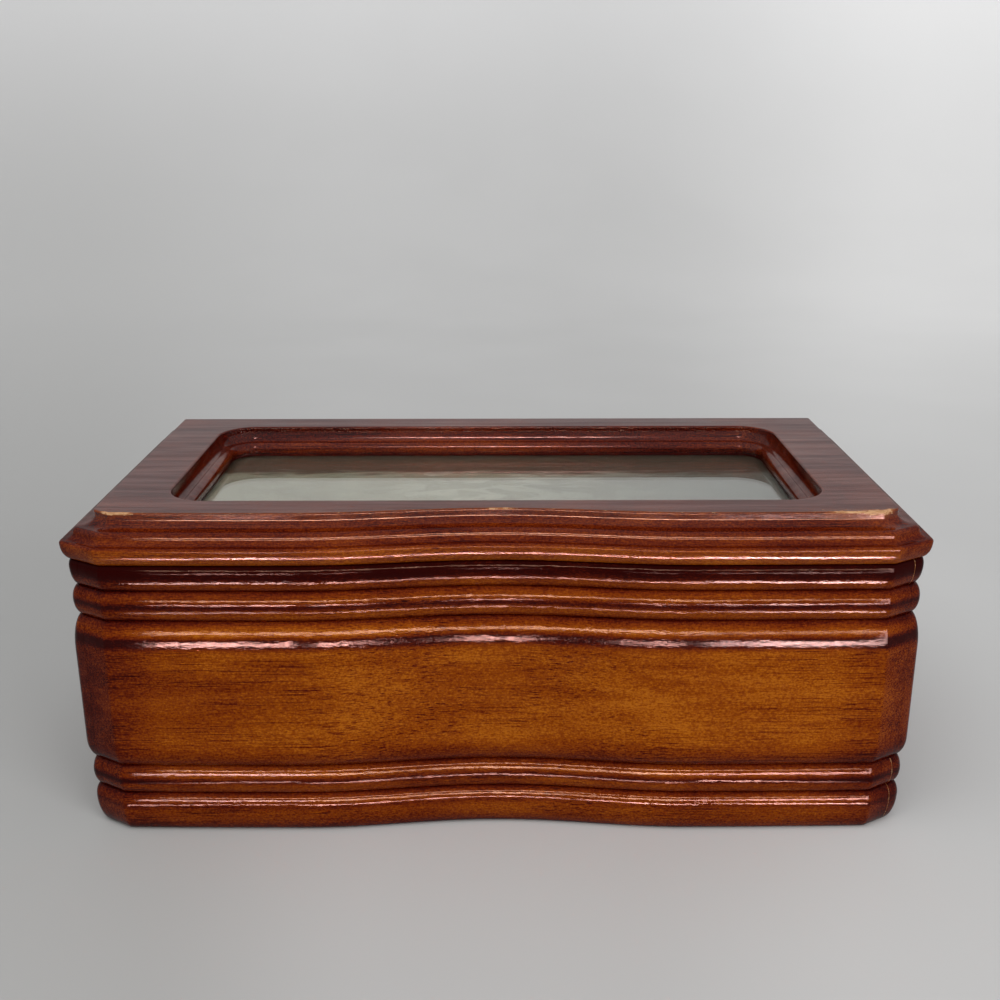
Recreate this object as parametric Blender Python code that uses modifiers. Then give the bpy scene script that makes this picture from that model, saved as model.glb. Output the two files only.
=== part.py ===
"""A wooden box with a hinged lid that holds a pane of glass.

Metres, +Z up. The origin is at the middle of the box's footprint, on the surface it stands on.
The front faces -Y. The lid turns about a line behind the back wall and opens to 100 degrees.
"""
import math

import bmesh
import bpy
from mathutils import Matrix, Vector

# Clearances
FIT_GAP = 0.0003
SEAT_GAP = 0.0001
LID_SEAM = 0.0003
CUT_OVERRUN = 0.004
MERGE_DISTANCE = 0.000003

# Case, measured over the beads of its moulded faces
CASE_WIDTH = 0.268
CASE_DEPTH = 0.127
CASE_HEIGHT = 0.0940
FRONT_WALL = 0.0140
SIDE_WALL = 0.0100
BACK_WALL = 0.0100

# Plan of the front: two crests with a hollow between them, and a cant at each corner
FRONT_DIP = 0.0048
CREST_SPACING = 0.127
WING_FALL = 0.0007
CANT_WIDTH = 0.0117
CANT_DEPTH = 0.0068
CASE_ARRIS = 0.0030
LID_ARRIS = 0.0010
FRONT_STEPS = 28
CANT_SEAM_SHARE = 0.66

# Case moulding, from the rim down
RIM_INSET = 0.0009
BEAD_DEPTH = 0.0023
TOP_BEAD_RISE = 0.0026
TOP_BEAD_FALL = 0.0061
SECOND_BEAD_RISE = 0.0048
SECOND_BEAD_FALL = 0.0052
PANEL_TOP_ROUND = 0.0078
PANEL_FOOT_ROUND = 0.0076
THIRD_BEAD_RISE = 0.0052
THIRD_BEAD_FALL = 0.0050
FOOT_BEAD_RISE = 0.0045
FOOT_BEAD_FALL = 0.0097
FOOT_INSET = 0.0036
ARC_STEPS = 4

# Lid moulding, from the top down
LID_THICKNESS = 0.0144
LID_EDGE_ROUND = 0.0005
LID_FASCIA = 0.0021
LID_COVE_HEIGHT = 0.0025
LID_COVE_REACH = 0.0044
LID_BEAD_HEIGHT = 0.0017
LID_BEAD_REACH = 0.0016
LID_STEP_HEIGHT = 0.0020
LID_STEP_REACH = 0.0026
LID_NOSE_RISE = 0.0009
LID_NOSE_REACH = 0.0012
LID_NOSE_UNDERCUT = 0.0027
LID_OVERHANG = 0.0018

# Window in the lid
WINDOW_SIDE_RAIL = 0.0274
WINDOW_FRONT_RAIL = 0.0213
WINDOW_BACK_RAIL = 0.0129
WINDOW_RADIUS = 0.0130
WINDOW_EDGE_ROUND = 0.0006
WINDOW_COVE_HEIGHT = 0.0048
WINDOW_COVE_REACH = 0.0022
WINDOW_BEAD_RISE = 0.0024
WINDOW_BEAD_FALL = 0.0016
WINDOW_BEAD_REACH = 0.0028
WINDOW_BEAD_RETURN = 0.0005
CORNER_STEPS = 5

# Glass, card and backing
REBATE_LIP = 0.0040
GLASS_THICKNESS = 0.0020
CARD_THICKNESS = 0.0016
BACKING_THICKNESS = 0.0020
BACKING_SIDE_GAP = 0.0084
BACKING_FRONT_GAP = 0.0043
BACKING_BACK_GAP = 0.0027
BACKING_EDGE_ROUND = 0.0005
LID_PAD_THICKNESS = 0.0015

# Floor and linings of the case
FLOOR_THICKNESS = 0.0040
FLOOR_REBATE = 0.0030
FLOOR_PAD_THICKNESS = 0.0025
LINING_THICKNESS = 0.0020
LINING_DROP = 0.0065
SOFT_EDGE_ROUND = 0.0007

# Hinges
HINGE_INSET = 0.054
HINGE_LENGTH = 0.030
LEAF_WIDTH = 0.0086
LEAF_THICKNESS = 0.0012
KNUCKLE_RADIUS = 0.0020
KNUCKLE_COUNT = 5
KNUCKLE_SIDES = 16
PIN_RADIUS = 0.0008
PIN_HEAD_RADIUS = 0.0014
PIN_HEAD = 0.0006
PIN_SIDES = 12
STOP_THICKNESS = 0.0010
STOP_DROP = 0.0055
HEEL_THICKNESS = 0.0012
HEEL_REACH = 0.0045
OPEN_ANGLE = math.radians(100)

# Screws
HINGE_SCREW_RADIUS = 0.0008
HINGE_SCREW_HEAD = 0.0016
HINGE_SCREW_LENGTH = 0.0075
HINGE_SCREW_SPACING = 0.018
BACKING_SCREW_RADIUS = 0.0007
BACKING_SCREW_HEAD = 0.0014
BACKING_SCREW_LENGTH = 0.0060
BACKING_SCREW_INSET = 0.008
BACKING_SCREW_COUNT = 3
SCREW_SIDES = 12

# Places that follow from the sizes
KNUCKLE_OFFSET = KNUCKLE_RADIUS + FIT_GAP
HEEL_FACE = -KNUCKLE_OFFSET + SEAT_GAP + STOP_THICKNESS + FIT_GAP
HINGE_REACH = KNUCKLE_OFFSET + HEEL_FACE * math.cos(OPEN_ANGLE) + HEEL_REACH * math.sin(OPEN_ANGLE)
FRONT_FACE = -(CASE_DEPTH + HINGE_REACH - LID_OVERHANG) / 2
BACK_FACE = FRONT_FACE + CASE_DEPTH
INNER_HALF = CASE_WIDTH / 2 - SIDE_WALL
INNER_FRONT = FRONT_FACE + FRONT_WALL
INNER_BACK = BACK_FACE - BACK_WALL
LID_BOTTOM = CASE_HEIGHT + LID_SEAM
LID_TOP = LID_BOTTOM + LID_THICKNESS
REBATE_DEPTH = GLASS_THICKNESS + CARD_THICKNESS + 3 * SEAT_GAP
WINDOW_FRONT = FRONT_FACE + WINDOW_FRONT_RAIL
WINDOW_BACK = BACK_FACE - WINDOW_BACK_RAIL
WINDOW_HALF = CASE_WIDTH / 2 - WINDOW_SIDE_RAIL
WINDOW_INSET = WINDOW_COVE_REACH + WINDOW_BEAD_REACH
HINGE_MIDDLE = CASE_WIDTH / 2 - HINGE_INSET
AXIS_Y = BACK_FACE + KNUCKLE_OFFSET
AXIS_Z = CASE_HEIGHT + LID_SEAM / 2


def clear_scene():
    for thing in list(bpy.data.objects):
        bpy.data.objects.remove(thing)


def new_collection(name):
    collection = bpy.data.collections.new(name)
    bpy.context.scene.collection.children.link(collection)
    return collection


def new_material(name, colour, roughness, metallic=0.0, alpha=1.0):
    material = bpy.data.materials.new(name)
    material.use_nodes = True
    shader = material.node_tree.nodes["Principled BSDF"]
    shader.inputs["Base Color"].default_value = (*colour, 1.0)
    shader.inputs["Roughness"].default_value = roughness
    shader.inputs["Metallic"].default_value = metallic
    shader.inputs["Alpha"].default_value = alpha
    return material


clear_scene()
PARTS = new_collection("wooden_box")
CUTTERS = new_collection("cutters")

CASE_WOOD = new_material("stained_case_wood", (0.23, 0.045, 0.008), 0.22)
LID_WOOD = new_material("stained_lid_wood", (0.21, 0.055, 0.018), 0.25)
FLOOR_WOOD = new_material("floor_board", (0.33, 0.20, 0.10), 0.60)
BACKING_WOOD = new_material("backing_board", (0.36, 0.24, 0.14), 0.60)
GLASS = new_material("window_glass", (0.80, 0.83, 0.80), 0.03, 0.0, 0.35)
CARD = new_material("display_card", (0.42, 0.41, 0.36), 0.75)
VELVET = new_material("lining_velvet", (0.16, 0.02, 0.03), 0.95)
BRASS = new_material("hinge_brass", (0.62, 0.44, 0.16), 0.35, 1.0)
STEEL = new_material("pin_steel", (0.55, 0.54, 0.52), 0.35, 1.0)


def add_object(name, mesh, collection=PARTS, material=None):
    thing = bpy.data.objects.new(name, mesh)
    collection.objects.link(thing)
    if material is not None:
        mesh.materials.clear()
        mesh.materials.append(material)
    if collection is CUTTERS:
        thing.hide_render = True
        thing.display_type = "WIRE"
    return thing


def mesh_of(name, shape):
    """Turns a bmesh into a mesh with its faces pointing out."""
    bmesh.ops.recalc_face_normals(shape, faces=shape.faces)
    mesh = bpy.data.meshes.new(name)
    shape.to_mesh(mesh)
    shape.free()
    return mesh


def box_mesh(name, low, high):
    shape = bmesh.new()
    bmesh.ops.create_cube(shape, size=1)
    size = [b - a for a, b in zip(low, high)]
    middle = [(a + b) / 2 for a, b in zip(low, high)]
    bmesh.ops.scale(shape, vec=size, verts=shape.verts)
    bmesh.ops.translate(shape, vec=middle, verts=shape.verts)
    return mesh_of(name, shape)


def box(name, low, high, material, edge_round=0.0, steps=2):
    thing = add_object(name, box_mesh(name, low, high), PARTS, material)
    if edge_round > 0:
        bevel = thing.modifiers.new("edges", "BEVEL")
        bevel.width = edge_round
        bevel.segments = steps
        bevel.limit_method = "ANGLE"
    return thing


def cutting_box(name, low, high):
    return add_object(name, box_mesh(name, low, high), CUTTERS)


def prism(name, outline, low, high):
    """An upright prism over a flat outline."""
    shape = bmesh.new()
    corners = [shape.verts.new((x, y, low)) for x, y in outline]
    floor = shape.faces.new(corners)
    grown = bmesh.ops.extrude_face_region(shape, geom=[floor])
    lifted = [item for item in grown["geom"] if isinstance(item, bmesh.types.BMVert)]
    bmesh.ops.translate(shape, vec=(0, 0, high - low), verts=lifted)
    return add_object(name, mesh_of(name, shape), CUTTERS)


def loft_mesh(name, rings):
    """A closed solid through level outlines that have the same number of points."""
    shape = bmesh.new()
    levels = [[shape.verts.new(point) for point in ring] for ring in rings]
    count = len(levels[0])
    for upper, lower in zip(levels, levels[1:]):
        for i in range(count):
            j = (i + 1) % count
            shape.faces.new((upper[i], upper[j], lower[j], lower[i]))
    shape.faces.new(levels[0])
    shape.faces.new(reversed(levels[-1]))
    return mesh_of(name, shape)


def boolean(target, tool, operation):
    modifier = target.modifiers.new(tool.name, "BOOLEAN")
    modifier.operation = operation
    modifier.object = tool
    modifier.solver = "EXACT"


def cut(target, tool):
    boolean(target, tool, "DIFFERENCE")


def keep_within(target, tool):
    boolean(target, tool, "INTERSECT")


def join(target, tool):
    boolean(target, tool, "UNION")


def cylinder_mesh(name, radius, length, sides):
    """A cylinder along Z with its base at the origin."""
    shape = bmesh.new()
    bmesh.ops.create_cone(shape, cap_ends=True, segments=sides, radius1=radius, radius2=radius, depth=length)
    bmesh.ops.translate(shape, vec=(0, 0, length / 2), verts=shape.verts)
    return mesh_of(name, shape)


# Profiles

def quarter(points, fall, reach, upright_first, steps=ARC_STEPS):
    """Adds a quarter of an ellipse that goes down by fall and out by reach from the last point.

    An arc that is upright first leaves along the wall and ends square to it.
    """
    start_drop, start_out = points[-1]
    for i in range(1, steps + 1):
        angle = math.pi / 2 * i / steps
        slow = 1 - math.cos(angle)
        quick = math.sin(angle)
        along, across = (quick, slow) if upright_first else (slow, quick)
        points.append((start_drop + fall * along, start_out + reach * across))


def straight_to(points, drop, out):
    points.append((drop, out))


def case_profile():
    """The case's moulding as drops below the rim and offsets from the beads' plane."""
    points = [(0.0, -RIM_INSET)]
    quarter(points, TOP_BEAD_RISE, RIM_INSET, False)
    quarter(points, TOP_BEAD_FALL, -BEAD_DEPTH, True)
    quarter(points, SECOND_BEAD_RISE, BEAD_DEPTH, False)
    quarter(points, SECOND_BEAD_FALL, -BEAD_DEPTH, True)
    quarter(points, PANEL_TOP_ROUND, BEAD_DEPTH, False)
    below_panel = (PANEL_FOOT_ROUND + THIRD_BEAD_RISE + THIRD_BEAD_FALL
                   + FOOT_BEAD_RISE + FOOT_BEAD_FALL)
    straight_to(points, CASE_HEIGHT - below_panel, 0.0)
    quarter(points, PANEL_FOOT_ROUND, -BEAD_DEPTH, True)
    quarter(points, THIRD_BEAD_RISE, BEAD_DEPTH, False)
    quarter(points, THIRD_BEAD_FALL, -BEAD_DEPTH, True)
    quarter(points, FOOT_BEAD_RISE, BEAD_DEPTH, False)
    quarter(points, FOOT_BEAD_FALL, -FOOT_INSET, True)
    return points


def lid_profile():
    """The lid's moulding as drops below the top and offsets from the case beads' plane."""
    top_out = LID_OVERHANG - (LID_NOSE_REACH + LID_STEP_REACH + LID_BEAD_REACH
                              + LID_COVE_REACH + LID_EDGE_ROUND)
    points = [(0.0, top_out)]
    quarter(points, LID_EDGE_ROUND, LID_EDGE_ROUND, False, 2)
    straight_to(points, LID_FASCIA, top_out + LID_EDGE_ROUND)
    quarter(points, LID_COVE_HEIGHT, LID_COVE_REACH, True)
    quarter(points, LID_BEAD_HEIGHT, LID_BEAD_REACH, False)
    quarter(points, LID_STEP_HEIGHT, LID_STEP_REACH, True, 3)
    quarter(points, LID_NOSE_RISE, LID_NOSE_REACH, False)
    fall = LID_THICKNESS - points[-1][0]
    quarter(points, fall, -LID_NOSE_UNDERCUT, True, 5)
    return points


def window_profile():
    """The window's moulding as drops below the lid's top and insets from its outline."""
    points = [(0.0, -WINDOW_EDGE_ROUND)]
    quarter(points, WINDOW_EDGE_ROUND, WINDOW_EDGE_ROUND, False, 2)
    quarter(points, WINDOW_COVE_HEIGHT, WINDOW_COVE_REACH, True)
    quarter(points, WINDOW_BEAD_RISE, WINDOW_BEAD_REACH, False)
    quarter(points, WINDOW_BEAD_FALL, -WINDOW_BEAD_RETURN, True, 2)
    straight_to(points, LID_THICKNESS - REBATE_DEPTH, points[-1][1])
    return points


# Plans

def front_line(x):
    """How far the front lies behind its crests at x."""
    crest = CREST_SPACING / 2
    if abs(x) <= crest:
        return FRONT_DIP * (1 + math.cos(math.pi * x / crest)) / 2
    wing = CASE_WIDTH / 2 - CANT_WIDTH - crest
    return WING_FALL * ((abs(x) - crest) / wing) ** 2


def round_over(before, corner, after, radius):
    """Three points of an arc that rounds a corner of an outline."""
    corner = Vector(corner)
    back = (Vector(before) - corner).normalized()
    ahead = (Vector(after) - corner).normalized()
    half = back.angle(ahead) / 2
    inward = (back + ahead).normalized()
    reach = radius / math.tan(half)
    middle = corner + inward * (radius / math.sin(half) - radius)
    return [(point.x, point.y) for point in (corner + back * reach, middle, corner + ahead * reach)]


def plan_outline(out, arris):
    """The box's outline, grown by out at the front, cants and sides but not at the back."""
    turn = math.atan2(CANT_DEPTH, CANT_WIDTH)
    near_x = CASE_WIDTH / 2 - CANT_WIDTH + out * math.tan(turn / 2)
    far_x = CASE_WIDTH / 2 + out
    far_y = FRONT_FACE + WING_FALL + CANT_DEPTH - out * math.tan((math.pi / 2 - turn) / 2)
    points = [(-far_x, BACK_FACE), (-far_x, far_y)]
    for i in range(FRONT_STEPS + 1):
        x = near_x * (2 * i / FRONT_STEPS - 1)
        points.append((x, FRONT_FACE + front_line(x) - out))
    points.append((far_x, far_y))
    points.append((far_x, BACK_FACE))
    last = len(points) - 1
    rounded = []
    for i, point in enumerate(points):
        if i in (1, 2, last - 2, last - 1):
            rounded += round_over(points[i - 1], point, points[i + 1], arris)
        else:
            rounded.append(point)
    return rounded


def rounded_rectangle(low, high, radius, steps=CORNER_STEPS):
    corners = (
        (low[0] + radius, low[1] + radius, math.pi),
        (high[0] - radius, low[1] + radius, 1.5 * math.pi),
        (high[0] - radius, high[1] - radius, 0.0),
        (low[0] + radius, high[1] - radius, 0.5 * math.pi),
    )
    points = []
    for x, y, start in corners:
        for i in range(steps + 1):
            angle = start + math.pi / 2 * i / steps
            points.append((x + radius * math.cos(angle), y + radius * math.sin(angle)))
    return points


def moulded_mesh(name, profile, top, arris):
    rings = []
    for drop, out in profile:
        rings.append([(x, y, top - drop) for x, y in plan_outline(out, arris)])
    return loft_mesh(name, rings)


# Case

def seam_corners(side):
    """The inner and outer ends of the glued joint between the front and one side wall."""
    near = Vector((side * (CASE_WIDTH / 2 - CANT_WIDTH), FRONT_FACE + WING_FALL))
    far = Vector((side * CASE_WIDTH / 2, FRONT_FACE + WING_FALL + CANT_DEPTH))
    inner = Vector((side * INNER_HALF, INNER_FRONT))
    on_cant = near.lerp(far, CANT_SEAM_SHARE)
    outer = inner + (on_cant - inner).normalized() * (FRONT_WALL + SIDE_WALL)
    return inner, outer


def case_wall(name, region):
    mesh = moulded_mesh(name, case_profile(), CASE_HEIGHT, CASE_ARRIS)
    wall = add_object(name, mesh, PARTS, CASE_WOOD)
    keep_within(wall, prism(name + "_region", region, -CUT_OVERRUN, CASE_HEIGHT + CUT_OVERRUN))
    return wall


def front_wall():
    left_inner, left_outer = seam_corners(-1)
    right_inner, right_outer = seam_corners(1)
    ahead = FRONT_FACE - FRONT_WALL
    corners = [left_inner, right_inner, right_outer]
    corners += [Vector((right_outer.x, ahead)), Vector((left_outer.x, ahead)), left_outer]
    return case_wall("front_wall", [(corner.x, corner.y) for corner in corners])


def side_wall(name, side):
    inner, outer = seam_corners(side)
    along = (outer - inner).normalized()
    square = Vector((-along.y, along.x)) * side
    start = inner + square * FIT_GAP
    start = start - along * (start.x - inner.x) / along.x
    end = outer + square * FIT_GAP
    behind = BACK_FACE + CUT_OVERRUN
    region = [(start.x, start.y), (start.x, behind), (end.x, behind), (end.x, end.y)]
    return case_wall(name, region)


def back_wall():
    half = INNER_HALF - FIT_GAP
    return box("back_wall", (-half, INNER_BACK, 0), (half, BACK_FACE, CASE_HEIGHT), CASE_WOOD)


def build_case():
    walls = [front_wall(), side_wall("left_wall", -1), side_wall("right_wall", 1), back_wall()]
    rebate = cutting_box(
        "floor_rebate",
        (-INNER_HALF - FLOOR_REBATE, INNER_FRONT - FLOOR_REBATE, -CUT_OVERRUN),
        (INNER_HALF + FLOOR_REBATE, INNER_BACK + FLOOR_REBATE, FLOOR_THICKNESS),
    )
    for wall in walls:
        cut(wall, rebate)
    reach = FLOOR_REBATE - FIT_GAP
    box(
        "bottom_panel",
        (-INNER_HALF - reach, INNER_FRONT - reach, 0),
        (INNER_HALF + reach, INNER_BACK + reach, FLOOR_THICKNESS - SEAT_GAP),
        FLOOR_WOOD,
    )
    return walls


def build_linings():
    """A padded floor and four covered cards that stand on it against the walls."""
    half = INNER_HALF - FIT_GAP
    front = INNER_FRONT + FIT_GAP
    back = INNER_BACK - FIT_GAP
    pad_top = FLOOR_THICKNESS + FLOOR_PAD_THICKNESS
    foot = pad_top + SEAT_GAP
    top = CASE_HEIGHT - LINING_DROP
    thick = LINING_THICKNESS
    box("floor_pad", (-half, front, FLOOR_THICKNESS), (half, back, pad_top), VELVET, SOFT_EDGE_ROUND)
    box("front_lining", (-half, front, foot), (half, front + thick, top), VELVET, SOFT_EDGE_ROUND)
    box("back_lining", (-half, back - thick, foot), (half, back, top), VELVET, SOFT_EDGE_ROUND)
    low_y = front + thick + FIT_GAP
    high_y = back - thick - FIT_GAP
    box("left_lining", (-half, low_y, foot), (thick - half, high_y, top), VELVET, SOFT_EDGE_ROUND)
    box("right_lining", (half - thick, low_y, foot), (half, high_y, top), VELVET, SOFT_EDGE_ROUND)


# Lid

def window_cutter():
    rings = []
    profile = window_profile()
    deepest = profile[-1]
    levels = [(-CUT_OVERRUN, profile[0][1])] + profile + [(LID_THICKNESS, deepest[1])]
    for drop, inset in levels:
        low = (-WINDOW_HALF + inset, WINDOW_FRONT + inset)
        high = (WINDOW_HALF - inset, WINDOW_BACK - inset)
        outline = rounded_rectangle(low, high, WINDOW_RADIUS - inset)
        rings.append([(x, y, LID_TOP - drop) for x, y in outline])
    return add_object("window_cutter", loft_mesh("window_cutter", rings), CUTTERS)


def rebate_limits(clearance):
    """The corners of the glass's rebate in plan, set in by a clearance."""
    grow = REBATE_LIP - WINDOW_INSET - clearance
    low = (-WINDOW_HALF - grow, WINDOW_FRONT - grow)
    high = (WINDOW_HALF + grow, WINDOW_BACK + grow)
    return low, high


def backing_limits():
    """The corners of the backing in plan, which drops into the case between its walls."""
    half = INNER_HALF - BACKING_SIDE_GAP
    return (-half, INNER_FRONT + BACKING_FRONT_GAP), (half, INNER_BACK - BACKING_BACK_GAP)


def build_lid():
    mesh = moulded_mesh("lid_board", lid_profile(), LID_TOP, LID_ARRIS)
    lid = add_object("lid_board", mesh, PARTS, LID_WOOD)
    cut(lid, window_cutter())
    low, high = rebate_limits(0.0)
    ceiling = LID_BOTTOM + REBATE_DEPTH
    cut(lid, cutting_box("glass_rebate", (*low, LID_BOTTOM - CUT_OVERRUN), (*high, ceiling)))
    low, high = rebate_limits(FIT_GAP)
    glass_top = ceiling - SEAT_GAP
    card_top = glass_top - GLASS_THICKNESS - SEAT_GAP
    glass = box("glass_pane", (*low, glass_top - GLASS_THICKNESS), (*high, glass_top), GLASS)
    card = box("display_card", (*low, card_top - CARD_THICKNESS), (*high, card_top), CARD)
    low, high = backing_limits()
    backing_top = LID_BOTTOM - SEAT_GAP
    backing_floor = backing_top - BACKING_THICKNESS
    backing = box(
        "lid_backing", (*low, backing_floor), (*high, backing_top), BACKING_WOOD, BACKING_EDGE_ROUND)
    low, high = rebate_limits(0.0)
    pad_top = backing_floor - SEAT_GAP
    pad = box("lid_pad", (*low, pad_top - LID_PAD_THICKNESS), (*high, pad_top), VELVET, SOFT_EDGE_ROUND)
    return lid, glass, card, backing, pad


# Screws

def screw_profile(radius, head_radius, length, extra=0.0):
    """A countersunk screw, or its hole when extra is a clearance, as radii and heights."""
    sink = head_radius - radius
    return [
        (0.0, extra),
        (head_radius + extra, extra),
        (head_radius + extra, 0.0),
        (radius + extra, -sink),
        (radius + extra, -length + sink),
        (0.0, -length - extra),
    ]


def add_turned(shape, profile, place, sides):
    """Turns a profile about Z, and adds it to the shape where the matrix puts it."""
    corners = [shape.verts.new((radius, 0, height)) for radius, height in profile]
    edges = [shape.edges.new(pair) for pair in zip(corners, corners[1:])]
    known = set(shape.verts) - set(corners)
    bmesh.ops.spin(
        shape, geom=corners + edges, cent=(0, 0, 0), axis=(0, 0, 1), angle=2 * math.pi, steps=sides,
        use_merge=True)
    fresh = [vertex for vertex in shape.verts if vertex not in known]
    bmesh.ops.remove_doubles(shape, verts=fresh, dist=MERGE_DISTANCE)
    fresh = [vertex for vertex in shape.verts if vertex not in known]
    bmesh.ops.transform(shape, matrix=place, verts=fresh)


def screws(name, places, sizes, material):
    """Equal screws, each an object that shares one mesh, and the cutter that bores their holes."""
    solid = bmesh.new()
    add_turned(solid, screw_profile(*sizes), Matrix.Identity(4), SCREW_SIDES)
    mesh = mesh_of(name, solid)
    hole = bmesh.new()
    copies = []
    for i, place in enumerate(places):
        copy = add_object(f"{name}_{i + 1}", mesh, PARTS, material)
        copy.matrix_world = place
        copies.append(copy)
        add_turned(hole, screw_profile(*sizes, FIT_GAP), place, SCREW_SIDES)
    bores = add_object(name + "_bores", mesh_of(name + "_bores", hole), CUTTERS)
    return copies, bores


def hinge_screw_places(height, points_up):
    turn = Matrix.Rotation(math.pi, 4, "X") if points_up else Matrix.Identity(4)
    y = BACK_FACE - LEAF_WIDTH / 2
    places = []
    for middle in (-HINGE_MIDDLE, HINGE_MIDDLE):
        for x in (middle - HINGE_SCREW_SPACING / 2, middle + HINGE_SCREW_SPACING / 2):
            places.append(Matrix.Translation((x, y, height)) @ turn)
    return places


def backing_screw_places():
    """Where the backing's screws go: midway between its ends and the rebate."""
    turn = Matrix.Rotation(math.pi, 4, "X")
    low, high = backing_limits()
    rebate_low, rebate_high = rebate_limits(0.0)
    first = low[1] + BACKING_SCREW_INSET
    last = high[1] - BACKING_SCREW_INSET
    places = []
    for x in ((low[0] + rebate_low[0]) / 2, (high[0] + rebate_high[0]) / 2):
        for i in range(BACKING_SCREW_COUNT):
            y = first + (last - first) * i / (BACKING_SCREW_COUNT - 1)
            places.append(Matrix.Translation((x, y, LID_BOTTOM - SEAT_GAP - BACKING_THICKNESS)) @ turn)
    return places


# Hinges

def barrel_arc(start, end):
    """Points of the knuckle's round from one angle to another, across and up from the axis."""
    steps = max(1, round(abs(end - start) / (2 * math.pi) * KNUCKLE_SIDES))
    points = []
    for i in range(steps + 1):
        angle = start + (end - start) * i / steps
        points.append((KNUCKLE_RADIUS * math.cos(angle), KNUCKLE_RADIUS * math.sin(angle)))
    return points


def case_knuckle_outline():
    """The case leaf's section at a knuckle: the leaf, the round and the stop below it."""
    leaf_top = CASE_HEIGHT - AXIS_Z
    leaf_floor = leaf_top - LEAF_THICKNESS
    leaf_edge = -KNUCKLE_OFFSET - LEAF_WIDTH
    wood = -KNUCKLE_OFFSET + SEAT_GAP
    stop_face = wood + STOP_THICKNESS
    start = math.pi - math.asin(leaf_top / KNUCKLE_RADIUS)
    end = -math.acos(stop_face / KNUCKLE_RADIUS)
    points = [(leaf_edge, leaf_floor), (leaf_edge, leaf_top)]
    points += barrel_arc(start, end)
    points += [(stop_face, -STOP_DROP), (wood, -STOP_DROP), (wood, leaf_floor)]
    return points


def lid_knuckle_outline():
    """The lid leaf's section at a knuckle: the leaf and the round."""
    leaf_floor = LID_BOTTOM - AXIS_Z
    leaf_top = leaf_floor + LEAF_THICKNESS
    leaf_edge = -KNUCKLE_OFFSET - LEAF_WIDTH
    start = math.pi - math.asin(leaf_floor / KNUCKLE_RADIUS)
    end = 3 * math.pi - math.asin(leaf_top / KNUCKLE_RADIUS)
    return [(leaf_edge, leaf_top), (leaf_edge, leaf_floor)] + barrel_arc(start, end)


def heel_outline():
    """The lid leaf's heel, which hangs against the case leaf's stop when the lid is open."""
    far = HEEL_FACE + HEEL_THICKNESS
    root = -(PIN_RADIUS + FIT_GAP)
    hanging = [(HEEL_FACE, root), (HEEL_FACE, -HEEL_REACH), (far, -HEEL_REACH), (far, root)]
    cosine = math.cos(OPEN_ANGLE)
    sine = math.sin(OPEN_ANGLE)
    return [(across * cosine - up * sine, across * sine + up * cosine) for across, up in hanging]


def knuckle_spans(middle, first):
    """The stretches along X of every other knuckle."""
    width = (HINGE_LENGTH - (KNUCKLE_COUNT - 1) * FIT_GAP) / KNUCKLE_COUNT
    spans = []
    for i in range(first, KNUCKLE_COUNT, 2):
        low = middle - HINGE_LENGTH / 2 + i * (width + FIT_GAP)
        spans.append((low, low + width))
    return spans


def extrusions(name, outline, spans, collection=CUTTERS, material=None):
    """Bars of one section along X, each a solid of its own."""
    shape = bmesh.new()
    for low, high in spans:
        corners = [shape.verts.new((low, AXIS_Y + across, AXIS_Z + up)) for across, up in outline]
        end = shape.faces.new(corners)
        grown = bmesh.ops.extrude_face_region(shape, geom=[end])
        moved = [item for item in grown["geom"] if isinstance(item, bmesh.types.BMVert)]
        bmesh.ops.translate(shape, vec=(high - low, 0, 0), verts=moved)
    return add_object(name, mesh_of(name, shape), collection, material)


def hinge_bore(name, middle):
    length = HINGE_LENGTH + 2 * CUT_OVERRUN
    mesh = cylinder_mesh(name, PIN_RADIUS + FIT_GAP, length, KNUCKLE_SIDES)
    mesh.transform(Matrix.Rotation(math.pi / 2, 4, "Y"))
    mesh.transform(Matrix.Translation((middle - length / 2, AXIS_Y, AXIS_Z)))
    return add_object(name, mesh, CUTTERS)


def hinge_pin(name, middle):
    """A headed pin: half its outline, turned about X."""
    half = HINGE_LENGTH / 2 + FIT_GAP
    end = half + PIN_HEAD
    profile = [(end, 0), (end, PIN_HEAD_RADIUS), (half, PIN_HEAD_RADIUS), (half, PIN_RADIUS),
               (-half, PIN_RADIUS), (-half, PIN_HEAD_RADIUS), (-end, PIN_HEAD_RADIUS), (-end, 0)]
    mesh = bpy.data.meshes.new(name)
    edges = [(i, i + 1) for i in range(len(profile) - 1)]
    mesh.from_pydata([(along, 0, out) for along, out in profile], edges, [])
    pin = add_object(name, mesh, PARTS, STEEL)
    pin.location = (middle, AXIS_Y, AXIS_Z)
    turn = pin.modifiers.new("turn", "SCREW")
    turn.axis = "X"
    turn.steps = PIN_SIDES
    turn.render_steps = PIN_SIDES
    turn.use_merge_vertices = True
    turn.merge_threshold = MERGE_DISTANCE
    return pin


def leaf_box(name, middle, low_y, high_y, low_z, high_z, grow=0.0):
    half = HINGE_LENGTH / 2 + grow
    return box_mesh(name, (middle - half, low_y, low_z), (middle + half, high_y, high_z))


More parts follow.
